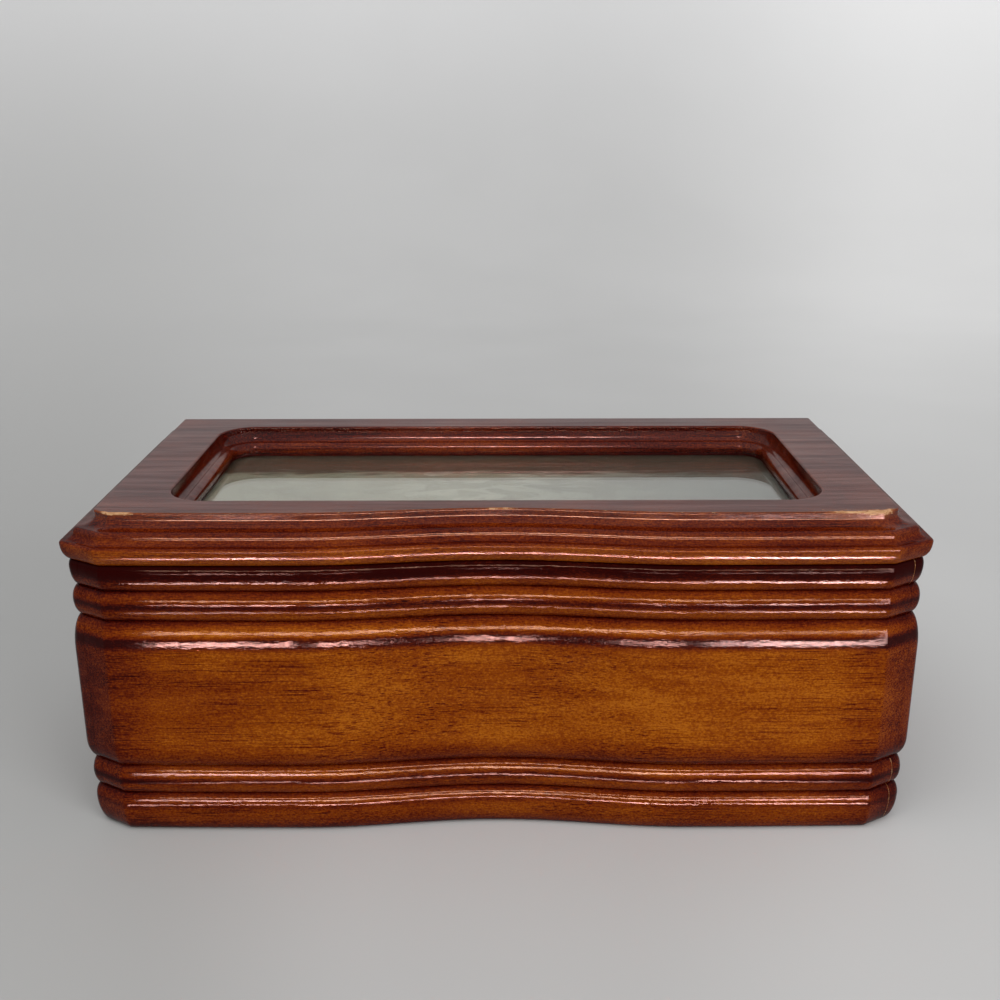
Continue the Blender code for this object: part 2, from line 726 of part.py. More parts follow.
def build_hinge(side_name, middle, walls, lid, case_bores, lid_bores):
    case_name = side_name + "_hinge_case_leaf"
    lid_name = side_name + "_hinge_lid_leaf"
    edge = BACK_FACE - LEAF_WIDTH
    case_floor = CASE_HEIGHT - LEAF_THICKNESS
    lid_ceiling = LID_BOTTOM + LEAF_THICKNESS
    bore = hinge_bore(side_name + "_hinge_bore", middle)

    case_leaf = add_object(
        case_name, leaf_box(case_name, middle, edge, BACK_FACE, case_floor, CASE_HEIGHT), PARTS, BRASS)
    join(case_leaf, extrusions(case_name + "_knuckles", case_knuckle_outline(), knuckle_spans(middle, 0)))
    stop_name = case_name + "_stop"
    stop_low = BACK_FACE + SEAT_GAP
    stop = leaf_box(
        stop_name, middle, stop_low, stop_low + STOP_THICKNESS, AXIS_Z - STOP_DROP, AXIS_Z - KNUCKLE_OFFSET)
    join(case_leaf, add_object(stop_name, stop, CUTTERS))
    cut(case_leaf, bore)
    cut(case_leaf, case_bores)

    lid_leaf = add_object(
        lid_name, leaf_box(lid_name, middle, edge, BACK_FACE, LID_BOTTOM, lid_ceiling), PARTS, BRASS)
    join(lid_leaf, extrusions(lid_name + "_knuckles", lid_knuckle_outline(), knuckle_spans(middle, 1)))
    join(lid_leaf, extrusions(lid_name + "_heels", heel_outline(), knuckle_spans(middle, 1)))
    cut(lid_leaf, bore)
    cut(lid_leaf, lid_bores)

    rear = BACK_FACE + CUT_OVERRUN
    ceiling = CASE_HEIGHT + CUT_OVERRUN
    recess = leaf_box(
        case_name + "_recess", middle, edge - FIT_GAP, rear, case_floor - SEAT_GAP, ceiling, FIT_GAP)
    cut(walls[-1], add_object(case_name + "_recess", recess, CUTTERS))
    floor = LID_BOTTOM - CUT_OVERRUN
    recess = leaf_box(
        lid_name + "_recess", middle, edge - FIT_GAP, rear, floor, lid_ceiling + SEAT_GAP, FIT_GAP)
    cut(lid, add_object(lid_name + "_recess", recess, CUTTERS))
    return lid_leaf, hinge_pin(side_name + "_hinge_pin", middle)


def carry_on_lid(pieces):
    """Hangs the lid's pieces from an empty on the hinge line."""
    pivot = bpy.data.objects.new("lid_pivot", None)
    PARTS.objects.link(pivot)
    pivot.location = (0, AXIS_Y, AXIS_Z)
    for piece in pieces:
        piece.parent = pivot
        piece.matrix_parent_inverse = Matrix.Translation((0, -AXIS_Y, -AXIS_Z))


def main():
    walls = build_case()
    build_linings()
    lid, glass, card, backing, pad = build_lid()

    hinge_sizes = (HINGE_SCREW_RADIUS, HINGE_SCREW_HEAD, HINGE_SCREW_LENGTH)
    backing_sizes = (BACKING_SCREW_RADIUS, BACKING_SCREW_HEAD, BACKING_SCREW_LENGTH)
    case_places = hinge_screw_places(CASE_HEIGHT, False)
    lid_places = hinge_screw_places(LID_BOTTOM, True)
    _, case_bores = screws("case_hinge_screw", case_places, hinge_sizes, BRASS)
    lid_screws, lid_bores = screws("lid_hinge_screw", lid_places, hinge_sizes, BRASS)
    backing_screws, backing_bores = screws("backing_screw", backing_screw_places(), backing_sizes, BRASS)
    cut(walls[-1], case_bores)
    cut(lid, lid_bores)
    cut(lid, backing_bores)
    cut(backing, backing_bores)

    on_lid = [lid, glass, card, backing, pad] + lid_screws + backing_screws
    for side_name, middle in (("left", -HINGE_MIDDLE), ("right", HINGE_MIDDLE)):
        lid_leaf, _ = build_hinge(side_name, middle, walls, lid, case_bores, lid_bores)
        on_lid.append(lid_leaf)
    carry_on_lid(on_lid)


main()
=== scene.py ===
import math

import bmesh
import bpy
from mathutils import Matrix, Vector, noise


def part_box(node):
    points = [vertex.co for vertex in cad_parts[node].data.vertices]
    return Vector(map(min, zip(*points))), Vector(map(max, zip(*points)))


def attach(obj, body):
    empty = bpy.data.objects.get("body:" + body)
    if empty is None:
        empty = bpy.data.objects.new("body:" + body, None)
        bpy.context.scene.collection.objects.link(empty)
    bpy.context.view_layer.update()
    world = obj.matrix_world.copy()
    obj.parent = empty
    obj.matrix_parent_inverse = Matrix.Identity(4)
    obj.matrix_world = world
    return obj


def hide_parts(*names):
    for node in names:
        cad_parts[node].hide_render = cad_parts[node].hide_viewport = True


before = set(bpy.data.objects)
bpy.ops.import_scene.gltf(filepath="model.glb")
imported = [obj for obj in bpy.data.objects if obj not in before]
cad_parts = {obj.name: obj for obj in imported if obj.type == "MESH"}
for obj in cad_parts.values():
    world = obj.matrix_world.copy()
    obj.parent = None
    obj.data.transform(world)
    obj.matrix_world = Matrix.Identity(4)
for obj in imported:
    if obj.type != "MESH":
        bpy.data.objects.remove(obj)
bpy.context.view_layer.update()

# All lengths are in metres.

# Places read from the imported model
FIT_GAP = 0.0003
CASE_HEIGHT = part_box("front_wall")[1].z
BACK_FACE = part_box("back_wall")[1].y
INNER_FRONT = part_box("front_lining")[0].y - FIT_GAP
INNER_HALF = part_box("right_lining")[1].x + FIT_GAP
LID_BOTTOM, LID_TOP = (corner.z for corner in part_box("lid_board"))
CASE_WIDTH = 2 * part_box("right_wall")[1].x
FRONT_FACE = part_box("front_wall")[0].y

# Plan of the front: two crests with a hollow between them, and a cant at each corner
FRONT_DIP = 0.0048
CREST_SPACING = 0.127
WING_FALL = 0.0007
CANT_WIDTH = 0.0117
CANT_DEPTH = 0.0068
CASE_ARRIS = (0.0030, 0.0036)
LID_ARRIS = (0.0014, 0.0034)
CANT_SEAM_SHARE = 0.66
SEAM_HAIRLINE = 0.00009
FRONT_CORNER = CASE_WIDTH / 2 - CANT_WIDTH
CANT_FRONT = FRONT_FACE + WING_FALL
CANT_BACK = CANT_FRONT + CANT_DEPTH

# Case moulding, from the rim down
RIM_INSET = 0.0009
BEAD_DEPTH = 0.0023
TOP_BEAD_RISE = 0.0026
TOP_BEAD_FALL = 0.0061
SECOND_BEAD_RISE = 0.0048
SECOND_BEAD_FALL = 0.0052
PANEL_TOP_ROUND = 0.0114
PANEL_PROUD = 0.0009
PANEL_FOOT_ROUND = 0.0066
THIRD_BEAD_RISE = 0.0052
THIRD_BEAD_FALL = 0.0050
FOOT_BEAD_RISE = 0.0045
FOOT_BEAD_FALL = 0.0097
FOOT_INSET = 0.0036
INNER_ARRIS = 0.0005

# Lid moulding, from the top down
LID_EDGE_ROUND = 0.0005
LID_FASCIA = 0.0021
LID_COVE_HEIGHT = 0.0025
LID_COVE_REACH = 0.0044
LID_BEAD_HEIGHT = 0.0017
LID_BEAD_REACH = 0.0016
LID_STEP_HEIGHT = 0.0020
LID_STEP_REACH = 0.0026
LID_NOSE_RISE = 0.0009
LID_NOSE_REACH = 0.0012
LID_NOSE_UNDERCUT = 0.0027
LID_OVERHANG = 0.0018
LID_MOULDING_REACH = LID_EDGE_ROUND + LID_COVE_REACH + LID_BEAD_REACH + LID_STEP_REACH + LID_NOSE_REACH

# Window in the lid
WINDOW_FRONT = -0.044744
WINDOW_BACK = 0.048056
WINDOW_HALF = 0.1066
WINDOW_RADIUS = 0.0130
WINDOW_EDGE_ROUND = 0.0006
WINDOW_COVE_HEIGHT = 0.0048
WINDOW_COVE_REACH = 0.0022
WINDOW_BEAD_RISE = 0.0024
WINDOW_BEAD_FALL = 0.0016
WINDOW_BEAD_REACH = 0.0028
WINDOW_BEAD_RETURN = 0.0005

# Pockets cut into the mouldings
CUT_OVERRUN = 0.004
BED_GAP = 0.0001
LEAF_RECESS = 0.0013

# Fineness of the mouldings: points on each part of a section or a plan
RIM_STEPS = 9
BEAD_STEPS = 14
PANEL_ROUND_STEPS = 16
PANEL_FACE_STEPS = 20
FOOT_STEPS = 18
FRONT_STEPS = 176
SIDE_STEPS = 44
BACK_STEPS = 90
ARRIS_STEPS = 6
CANT_STEPS = 4
TOP_ROWS_AT_WINDOW = (0.0012, 0.0022)
TOP_ROWS_AT_EDGE = (0.0034, 0.0020, 0.0012, 0.0006)
SHARP_ANGLE = math.radians(32)
MERGE_DISTANCE = 0.000002
SPREAD_STEP = 0.001

# Stain of the case by height above its base, from 0, darkest, to 1, lightest. It holds painted light and shade
# as well as stain: lighter upper faces on the beads, a painted highlight band on the panel's top round, painted
# dark reflection bands on the bead crests and under that round, painted shade in the grooves together with
# stain, and the top of the rim darkest in the lid's painted shadow
CASE_STAIN_AND_SHADING = (
    (0.0000, 0.20), (0.0015, 0.40), (0.0050, 0.70), (0.0085, 0.74), (0.0097, 0.50), (0.0113, 0.72),
    (0.0132, 0.62), (0.0142, 0.28), (0.0158, 0.74), (0.0178, 0.72), (0.0192, 0.20), (0.0210, 0.78),
    (0.0235, 0.62), (0.0244, 0.35), (0.0300, 0.70), (0.0340, 0.93), (0.0500, 0.93), (0.0650, 0.90),
    (0.0664, 0.70), (0.0672, 0.30), (0.0682, 0.10), (0.0696, 0.10), (0.0703, 0.66), (0.0712, 0.92),
    (0.0724, 0.92), (0.0740, 0.65), (0.0753, 0.30), (0.0770, 0.80), (0.0790, 0.74), (0.0803, 0.10),
    (0.0822, 0.76), (0.0840, 0.62), (0.0853, 0.30), (0.0870, 0.74), (0.0885, 0.60), (0.0900, 0.06),
    (0.0914, 0.02), (0.0940, 0.00),
)

# Where the case's tone leaves that table: painted shade on the cants and, less, on the sides, darker towards
# the panel's left and the front's ends, and a painted sheen at the crests
LEFT_CANT_SHADE = 0.20
RIGHT_CANT_SHADE = 0.30
CANT_BLEND = 0.0035
SIDE_BLEND = 0.030
SIDE_THINNING = 0.7
LEFT_SHADE = 0.26
LEFT_SHADE_REACH = 0.080
LEFT_SHADE_HEIGHTS = (0.028, 0.068)
END_SHADE = 0.20
END_SHADE_REACH = 0.016
CREST_GLOW = 0.13
CREST_GLOW_WIDTH = 0.015
CREST_GLOW_HEIGHT = 0.038
CREST_GLOW_REACH = 0.020

# Lacquer of the case: worn thin at the rim, which rubs on the lid
RIM_THINNING = 0.55
RIM_THIN_HEIGHTS = (0.0885, 0.0915)

# Seam on the right cant: open and bare but for these heights
SEAM_WEAR = 0.56
SEAM_SOUND_HEIGHTS = (0.0240, 0.0853)
SEAM_SEARCH = 0.002

# Tone of the lid, from 0, darkest, to 1, lightest: its stain with painted light and shade, darker on the
# window's top edge, in the coves, on the step and under the window's bead where shade falls, and painted shade
# on its cants
LID_TOP_TONE = 0.35
LID_FASCIA_TONE = 0.46
LID_COVE_TONE = 0.32
LID_BEAD_TONE = 0.56
LID_STEP_TONE = 0.28
LID_NOSE_TONE = 0.80
LID_UNDERCUT_TONE = 0.90
WINDOW_EDGE_TONE = 0.20
WINDOW_COVE_TONE = 0.34
WINDOW_BEAD_TONE = 0.40
WINDOW_RETURN_TONE = 0.15
WINDOW_FOOT_TONE = 0.3
LID_CANT_SHADE = 0.35
LID_SHADE_DROP = 0.0006

# Lacquer of the lid: thinner below its top edge, and again on the lower mouldings
FASCIA_THINNING = 0.20
FASCIA_THIN_DROPS = (0.0014, 0.0032)
NOSE_THINNING = 0.40
NOSE_THIN_DROPS = (0.0044, 0.0064)

# Wear of the lid's top edge
LID_EDGE_SETBACK = 0.0085
LID_CORNER_INSET = 0.0022
FRONT_RAIL = 0.012
WORN_DEPTH = 0.005
TOP_SKIN = 0.0003
EDGE_WEAR = 0.40
EDGE_WEAR_REACH = 0.0006
WORN_CENTRE_SHARE = 0.4

# Its worn stretches: from, to, how far off the edge and how deep
WORN_STRETCHES = (
    (-0.1240, -0.1110, 0.0008, 0.78),
    (-0.0040, 0.0070, 0.0005, 0.62),
    (0.1020, 0.1160, 0.0006, 0.72),
    (0.1130, 0.1240, 0.0013, 0.95),
    (0.0930, 0.1300, 0.0046, 0.36),
)


# Meshes and trees

def linked(name, data):
    """A new object in the scene."""
    made = bpy.data.objects.new(name, data)
    bpy.context.scene.collection.objects.link(made)
    return made


def mesh_of(name, shape):
    """Ends the work on a shape and gives its mesh."""
    mesh = bpy.data.meshes.new(name)
    shape.to_mesh(mesh)
    shape.free()
    return mesh


def plain_mesh(name, carrier):
    """What an object's modifiers make of it, as a plain mesh. The object goes."""
    depsgraph = bpy.context.evaluated_depsgraph_get()
    plain = bpy.data.meshes.new_from_object(carrier.evaluated_get(depsgraph), depsgraph=depsgraph)
    plain.name = name
    bpy.data.objects.remove(carrier)
    return plain


class Nodes:
    """Lays nodes into a tree and joins them up."""

    def __init__(self, tree):
        self.tree = tree

    def feed(self, socket, value):
        """Joins a socket to another, or sets its own value."""
        if isinstance(value, bpy.types.NodeSocket):
            self.tree.links.new(value, socket)
        elif value is not None:
            socket.default_value = value

    def node(self, kind, inputs=None, **settings):
        made = self.tree.nodes.new(kind)
        for key, value in settings.items():
            setattr(made, key, value)
        for key, value in (inputs or {}).items():
            self.feed(made.inputs[key], value)
        return made

    def maths(self, operation, first, second=None, clamp=False):
        made = self.node("ShaderNodeMath", {0: first, 1: second}, operation=operation, use_clamp=clamp)
        return made.outputs[0]


class Joinery(Nodes):
    """A geometry tree under way, from its named inputs to a plain mesh of one material."""

    def __init__(self, name, inputs):
        tree = bpy.data.node_groups.new(name, "GeometryNodeTree")
        tree.interface.new_socket("Geometry", in_out="INPUT", socket_type="NodeSocketGeometry")
        for label, kind in inputs:
            tree.interface.new_socket(label, in_out="INPUT", socket_type="NodeSocket" + kind)
        tree.interface.new_socket("Geometry", in_out="OUTPUT", socket_type="NodeSocketGeometry")
        super().__init__(tree)
        self.source = tree.nodes.new("NodeGroupInput")
        self.result = tree.nodes.new("NodeGroupOutput")

    def given(self, label):
        return self.source.outputs[label]

    def vectors(self, operation, first, second):
        made = self.node("ShaderNodeVectorMath", {0: first, 1: second}, operation=operation)
        return made.outputs[0]

    def scaled(self, vector, amount):
        made = self.node("ShaderNodeVectorMath", {0: vector, "Scale": amount}, operation="SCALE")
        return made.outputs[0]

    def upward(self, height):
        """A vector that points up by height."""
        return self.node("ShaderNodeCombineXYZ", {"Z": height}).outputs[0]

    def count(self, geometry):
        made = self.node("GeometryNodeAttributeDomainSize", {"Geometry": geometry})
        return made.outputs["Point Count"]

    def named(self, label, kind="FLOAT"):
        made = self.node("GeometryNodeInputNamedAttribute", {"Name": label}, data_type=kind)
        return made.outputs["Attribute"]

    def sampled(self, geometry, value, index, kind="FLOAT"):
        made = self.node("GeometryNodeSampleIndex", {"Geometry": geometry, "Value": value, "Index": index},
                         data_type=kind, domain="POINT")
        return made.outputs["Value"]

    def finished(self, geometry, material):
        """Ends the tree: instances made real, and every face of one material."""
        whole = self.node("GeometryNodeRealizeInstances", {"Geometry": geometry})
        faced = self.node("GeometryNodeSetMaterial", {"Geometry": whole.outputs[0], "Material": material})
        self.tree.links.new(faced.outputs[0], self.result.inputs[0])
        return self.tree


def worked_mesh(name, mesh, tree, values):
    """Runs a geometry tree over a mesh and gives back a plain mesh of one material."""
    carrier = linked(name, mesh)
    modifier = carrier.modifiers.new("work", "NODES")
    modifier.node_group = tree
    for item in tree.interface.items_tree:
        if item.item_type == "SOCKET" and item.in_out == "INPUT" and item.name in values:
            modifier[item.identifier] = values[item.name]
    plain = plain_mesh(name, carrier)
    surface = [material for material in plain.materials if material][0]
    plain.materials.clear()
    plain.materials.append(surface)
    plain.polygons.foreach_set("material_index", [0] * len(plain.polygons))
    return plain


def piece_of(name, mesh, body, nodes):
    """A finished piece: it rides on its body and stands for its nodes."""
    piece = linked(name, mesh)
    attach(piece, body)
    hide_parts(*nodes)
    return piece


def close_ends(mesh):
    """Fills the open ends of a swept mesh and turns its faces out."""
    shape = bmesh.new()
    shape.from_mesh(mesh)
    bmesh.ops.remove_doubles(shape, verts=shape.verts, dist=MERGE_DISTANCE)
    open_edges = [edge for edge in shape.edges if edge.is_boundary]
    if open_edges:
        bmesh.ops.holes_fill(shape, edges=open_edges, sides=0)
    bmesh.ops.recalc_face_normals(shape, faces=shape.faces)
    shape.to_mesh(mesh)
    shape.free()


def smooth(mesh, angle=SHARP_ANGLE):
    """Smooth shading, with edges left sharp where faces meet at more than angle."""
    mesh.shade_smooth()
    mesh.set_sharp_from_angle(angle=angle)


def cutting_box(name, low, high):
    shape = bmesh.new()
    bmesh.ops.create_cube(shape, size=1)
    bmesh.ops.scale(shape, vec=[b - a for a, b in zip(low, high)], verts=shape.verts)
    bmesh.ops.translate(shape, vec=[(a + b) / 2 for a, b in zip(low, high)], verts=shape.verts)
    return mesh_of(name, shape)


def cut_away(mesh, cutters):
    """Takes the cutters' shapes out of a closed mesh."""
    work = linked("work", mesh)
    tools = [linked("tool", cutter) for cutter in cutters]
    for tool in tools:
        modifier = work.modifiers.new("cut", "BOOLEAN")
        modifier.operation = "DIFFERENCE"
        modifier.solver = "EXACT"
        modifier.object = tool
    plain = plain_mesh(mesh.name, work)
    for tool in tools:
        bpy.data.objects.remove(tool)
    return plain


# Sections of the mouldings

class Section:
    """Points of a moulding's cross-section, down its face and back up its inner side.

    Each point says how far out and how high it lies, whether it is on the outer plan, 0, or on the
    inner one, 1, and how light its tone is there: stain with painted light and shade. The case's tone comes
    from its own table.
    """

    def __init__(self, out, height, tone=0.0):
        self.points = [(out, height, 0.0, tone)]

    def quarter(self, fall, reach, upright_first, steps, tone=0.0):
        """A quarter of an ellipse, down by fall and out by reach."""
        out, height, side, before = self.points[-1]
        for i in range(1, steps + 1):
            share = i / steps
            slow = 1 - math.cos(math.pi / 2 * share)
            quick = math.sin(math.pi / 2 * share)
            along, across = (quick, slow) if upright_first else (slow, quick)
            shade = before + (tone - before) * share
            self.points.append((out + reach * across, height - fall * along, side, shade))

    def bead(self, rise, fall, steps=BEAD_STEPS):
        """A round that swells out by a bead's depth and falls back."""
        self.quarter(rise, BEAD_DEPTH, False, steps)
        self.quarter(fall, -BEAD_DEPTH, True, steps)

    def straight(self, out, height, steps, tone=0.0):
        start_out, start_height, side, before = self.points[-1]
        for i in range(1, steps + 1):
            share = i / steps
            self.points.append((start_out + (out - start_out) * share,
                                start_height + (height - start_height) * share,
                                side, before + (tone - before) * share))

    def on_inner(self, out, height, tone=0.0):
        self.points.append((out, height, 1.0, tone))

    def closed(self):
        self.points.append(self.points[0])
        return self.points


def case_section():
    """Down the case's face from the rim to the base, and up its inner face."""
    section = Section(-RIM_INSET, CASE_HEIGHT)
    section.quarter(TOP_BEAD_RISE, RIM_INSET, False, RIM_STEPS)
    section.quarter(TOP_BEAD_FALL, -BEAD_DEPTH, True, BEAD_STEPS)
    section.bead(SECOND_BEAD_RISE, SECOND_BEAD_FALL)
    section.quarter(PANEL_TOP_ROUND, BEAD_DEPTH + PANEL_PROUD, False, PANEL_ROUND_STEPS)
    panel_foot = PANEL_FOOT_ROUND + THIRD_BEAD_RISE + THIRD_BEAD_FALL + FOOT_BEAD_RISE + FOOT_BEAD_FALL
    section.straight(PANEL_PROUD, panel_foot, PANEL_FACE_STEPS)
    section.quarter(PANEL_FOOT_ROUND, -BEAD_DEPTH - PANEL_PROUD, True, PANEL_ROUND_STEPS)
    section.bead(THIRD_BEAD_RISE, THIRD_BEAD_FALL)
    section.quarter(FOOT_BEAD_RISE, BEAD_DEPTH, False, BEAD_STEPS)
    section.quarter(FOOT_BEAD_FALL, -FOOT_INSET, True, FOOT_STEPS)
    section.on_inner(0.0, 0.0)
    section.on_inner(0.0, CASE_HEIGHT - INNER_ARRIS)
    section.on_inner(-INNER_ARRIS * 0.3, CASE_HEIGHT - INNER_ARRIS * 0.3)
    section.on_inner(-INNER_ARRIS, CASE_HEIGHT)
    return section.closed()


def lid_section():
    """Down the lid's edge, along its underside, up the window's moulding and back over the top."""
    top_out = LID_OVERHANG - LID_MOULDING_REACH
    section = Section(top_out, LID_TOP, LID_TOP_TONE)
    section.quarter(LID_EDGE_ROUND, LID_EDGE_ROUND, False, 4, LID_FASCIA_TONE)
    section.straight(top_out + LID_EDGE_ROUND, LID_TOP - LID_FASCIA, 4, LID_FASCIA_TONE)
    section.quarter(LID_COVE_HEIGHT, LID_COVE_REACH, True, 10, LID_COVE_TONE)
    section.quarter(LID_BEAD_HEIGHT, LID_BEAD_REACH, False, 8, LID_BEAD_TONE)
    section.quarter(LID_STEP_HEIGHT, LID_STEP_REACH, True, 10, LID_STEP_TONE)
    section.quarter(LID_NOSE_RISE, LID_NOSE_REACH, False, 8, LID_NOSE_TONE)
    nose_fall = section.points[-1][1] - LID_BOTTOM
    section.quarter(nose_fall, -LID_NOSE_UNDERCUT, True, 14, LID_UNDERCUT_TONE)
    for inset, height, tone in reversed(window_points()):
        section.on_inner(-inset, height, tone)
    for margin in TOP_ROWS_AT_WINDOW:
        section.on_inner(margin, LID_TOP, LID_TOP_TONE)
    for depth in TOP_ROWS_AT_EDGE:
        section.points.append((top_out - depth, LID_TOP, 0.0, LID_TOP_TONE))
    return section.closed()


def window_points():
    """The window's moulding as insets, heights and tones, from its top edge down to the underside."""
    window = Section(-WINDOW_EDGE_ROUND, LID_TOP, 0.5)
    window.quarter(WINDOW_EDGE_ROUND, WINDOW_EDGE_ROUND, False, 5, WINDOW_EDGE_TONE)
    window.quarter(WINDOW_COVE_HEIGHT, WINDOW_COVE_REACH, True, 12, WINDOW_COVE_TONE)
    window.quarter(WINDOW_BEAD_RISE, WINDOW_BEAD_REACH, False, 10, WINDOW_BEAD_TONE)
    window.quarter(WINDOW_BEAD_FALL, -WINDOW_BEAD_RETURN, True, 5, WINDOW_RETURN_TONE)
    window.straight(window.points[-1][0], LID_BOTTOM, 2, WINDOW_FOOT_TONE)
    return [(out, height, tone) for out, height, _, tone in window.points]


# Plans of the mouldings

def front_line(x):
    """How far the front lies behind its crests at x."""
    crest = CREST_SPACING / 2
    if abs(x) <= crest:
        return FRONT_DIP * (1 + math.cos(math.pi * x / crest)) / 2
    return WING_FALL * ((abs(x) - crest) / (FRONT_CORNER - crest)) ** 2


def round_over(before, corner, after, radius):
    """Points of an arc that rounds a corner of an outline."""
    back = (before - corner).normalized()
    ahead = (after - corner).normalized()
    half = back.angle(ahead) / 2
    centre = corner + (back + ahead).normalized() * radius / math.sin(half)
    start = corner + back * radius / math.tan(half) - centre
    turn = start.angle_signed(corner + ahead * radius / math.tan(half) - centre)
    points = []
    for i in range(ARRIS_STEPS + 1):
        points.append(centre + Matrix.Rotation(-turn * i / ARRIS_STEPS, 2) @ start)
    return points


def outline(out, arris):
    """The box's outline from the back left corner round the front to the back right corner.

    arris holds the radii at the near and the far corner of each cant.
    """
    near_arris, far_arris = arris
    turn = math.atan2(CANT_DEPTH, CANT_WIDTH)
    near_x = FRONT_CORNER + out * math.tan(turn / 2)
    far_x = CASE_WIDTH / 2 + out
    far_y = CANT_BACK - out * math.tan((math.pi / 2 - turn) / 2)
    front = []
    for i in range(FRONT_STEPS + 1):
        x = near_x * (2 * i / FRONT_STEPS - 1)
        front.append(Vector((x, FRONT_FACE + front_line(x) - out)))
    back_corner = Vector((far_x, BACK_FACE))
    far_corner = Vector((far_x, far_y))
    far_arc = round_over(back_corner, far_corner, front[-1], far_arris)
    near_arc = round_over(far_corner, front[-1], front[-2], near_arris)
    right = [back_corner.lerp(far_arc[0], i / SIDE_STEPS) for i in range(SIDE_STEPS)]
    right += far_arc
    right += [far_arc[-1].lerp(near_arc[0], i / CANT_STEPS) for i in range(1, CANT_STEPS)]
    right += near_arc
    left = [Vector((-point.x, point.y)) for point in right]
    return left + front[1:-1] + right[::-1]


def spread_outline(arris):
    """The outline's points with the way each one moves as the outline grows."""
    middle = outline(0.0, arris)
    grown = outline(SPREAD_STEP, arris)
    shrunk = outline(-SPREAD_STEP, arris)
    return [(point, (more - less) / (2 * SPREAD_STEP)) for point, more, less in zip(middle, grown, shrunk)]


def columns_mesh(name, columns):
    """A row of points that carry a moulding's outer and inner plans."""
    mesh = bpy.data.meshes.new(name)
    mesh.from_pydata([(*outer, 0.0) for outer, _, _, _ in columns], [], [])
    for label, slot in (("outer_spread", 1), ("inner", 2), ("inner_spread", 3)):
        layer = mesh.attributes.new(label, "FLOAT_VECTOR", "POINT")
        layer.data.foreach_set("vector", [value for column in columns for value in (*column[slot], 0.0)])
    return mesh


def section_object(name, section):
    """A row of points that carry a section, for the sweep to read."""
    mesh = bpy.data.meshes.new(name)
    mesh.from_pydata([(0.0, out, height) for out, height, _, _ in section], [], [])
    for label, slot in (("out", 0), ("height", 1), ("side", 2), ("tone", 3)):
        layer = mesh.attributes.new(label, "FLOAT", "POINT")
        layer.data.foreach_set("value", [point[slot] for point in section])
    return linked(name, mesh)


def moulding_tree():
    """Sweeps a section along a pair of plans, one outer and one inner."""
    lay = Joinery("moulding", [("Section", "Object"), ("Merge Distance", "Float"), ("Wood", "Material")])
    plan = lay.given("Geometry")
    section = lay.node("GeometryNodeObjectInfo", {"Object": lay.given("Section")}).outputs["Geometry"]
    rows = lay.count(section)
    grid = lay.node("GeometryNodeMeshGrid", {"Vertices X": lay.count(plan), "Vertices Y": rows})
    index = lay.node("GeometryNodeInputIndex").outputs[0]
    column = lay.maths("FLOOR", lay.maths("DIVIDE", lay.maths("ADD", index, 0.5), rows))
    row = lay.maths("SUBTRACT", index, lay.maths("MULTIPLY", column, rows))

    def planned(label):
        return lay.sampled(plan, lay.named(label, "FLOAT_VECTOR"), column, "FLOAT_VECTOR")

    out, height, side, tone = (
        lay.sampled(section, lay.named(label), row) for label in ("out", "height", "side", "tone"))
    outer = lay.sampled(plan, lay.node("GeometryNodeInputPosition").outputs[0], column, "FLOAT_VECTOR")
    on_outer = lay.vectors("ADD", outer, lay.scaled(planned("outer_spread"), out))
    on_inner = lay.vectors("ADD", planned("inner"), lay.scaled(planned("inner_spread"), out))
    between = lay.vectors("ADD", on_outer, lay.scaled(lay.vectors("SUBTRACT", on_inner, on_outer), side))
    placed = lay.node("GeometryNodeSetPosition", {
        "Geometry": grid.outputs["Mesh"], "Position": lay.vectors("ADD", between, lay.upward(height))})
    toned = lay.node("GeometryNodeStoreNamedAttribute", {
        "Geometry": placed.outputs[0], "Name": "tone", "Value": tone}, data_type="FLOAT", domain="POINT")
    merged = lay.node("GeometryNodeMergeByDistance", {
        "Geometry": toned.outputs[0], "Distance": lay.given("Merge Distance")})
    return lay.finished(merged.outputs[0], lay.given("Wood"))


def swept(name, columns, section, wood):
    """A closed moulding, swept from its columns and its section."""
    holder = section_object(name + "_section", section)
    values = {"Section": holder, "Merge Distance": MERGE_DISTANCE, "Wood": wood}
    mesh = worked_mesh(name, columns_mesh(name, columns), MOULDING, values)
    bpy.data.objects.remove(holder)
    close_ends(mesh)
    return mesh


def seam_column(side):
    """The glued joint between the front and a side wall: outer place, spread, inner place and direction."""
    near = Vector((side * FRONT_CORNER, CANT_FRONT))
    far = Vector((side * CASE_WIDTH / 2, CANT_BACK))
    inner = Vector((side * INNER_HALF, INNER_FRONT))
    on_cant = near.lerp(far, CANT_SEAM_SHARE)
    along = (on_cant - inner).normalized()
    cant = (far - near).normalized()
    square = Vector((cant.y, -cant.x)) * side
    return on_cant, along / along.dot(square), inner, along


def beside(column, seam):
    """A column close to the seam, on the way to it from the one before."""
    share = 1 - 3 * SEAM_HAIRLINE / (seam[0] - column[0]).length
    return tuple(here.lerp(there, share) for here, there in zip(column, seam))


def front_columns():
    """The front wall's columns, from its left seam to its right one."""
    points = spread_outline(CASE_ARRIS)
    cant = SIDE_STEPS + ARRIS_STEPS + CANT_STEPS
    left, left_spread, left_inner, _ = seam_column(-1)
    right, right_spread, right_inner, _ = seam_column(1)
    inward = Vector((0.0, 1.0))
    columns = [(left, left_spread, left_inner, inward)]
    for point, spread in points[cant:len(points) - cant]:
        x = point.x * INNER_HALF / right.x
        columns.append((point, spread, Vector((x, INNER_FRONT)), inward))
    seam = (right, right_spread, right_inner, inward)
    columns.append(beside(columns[-1], seam))
    columns.append(seam)
    return columns


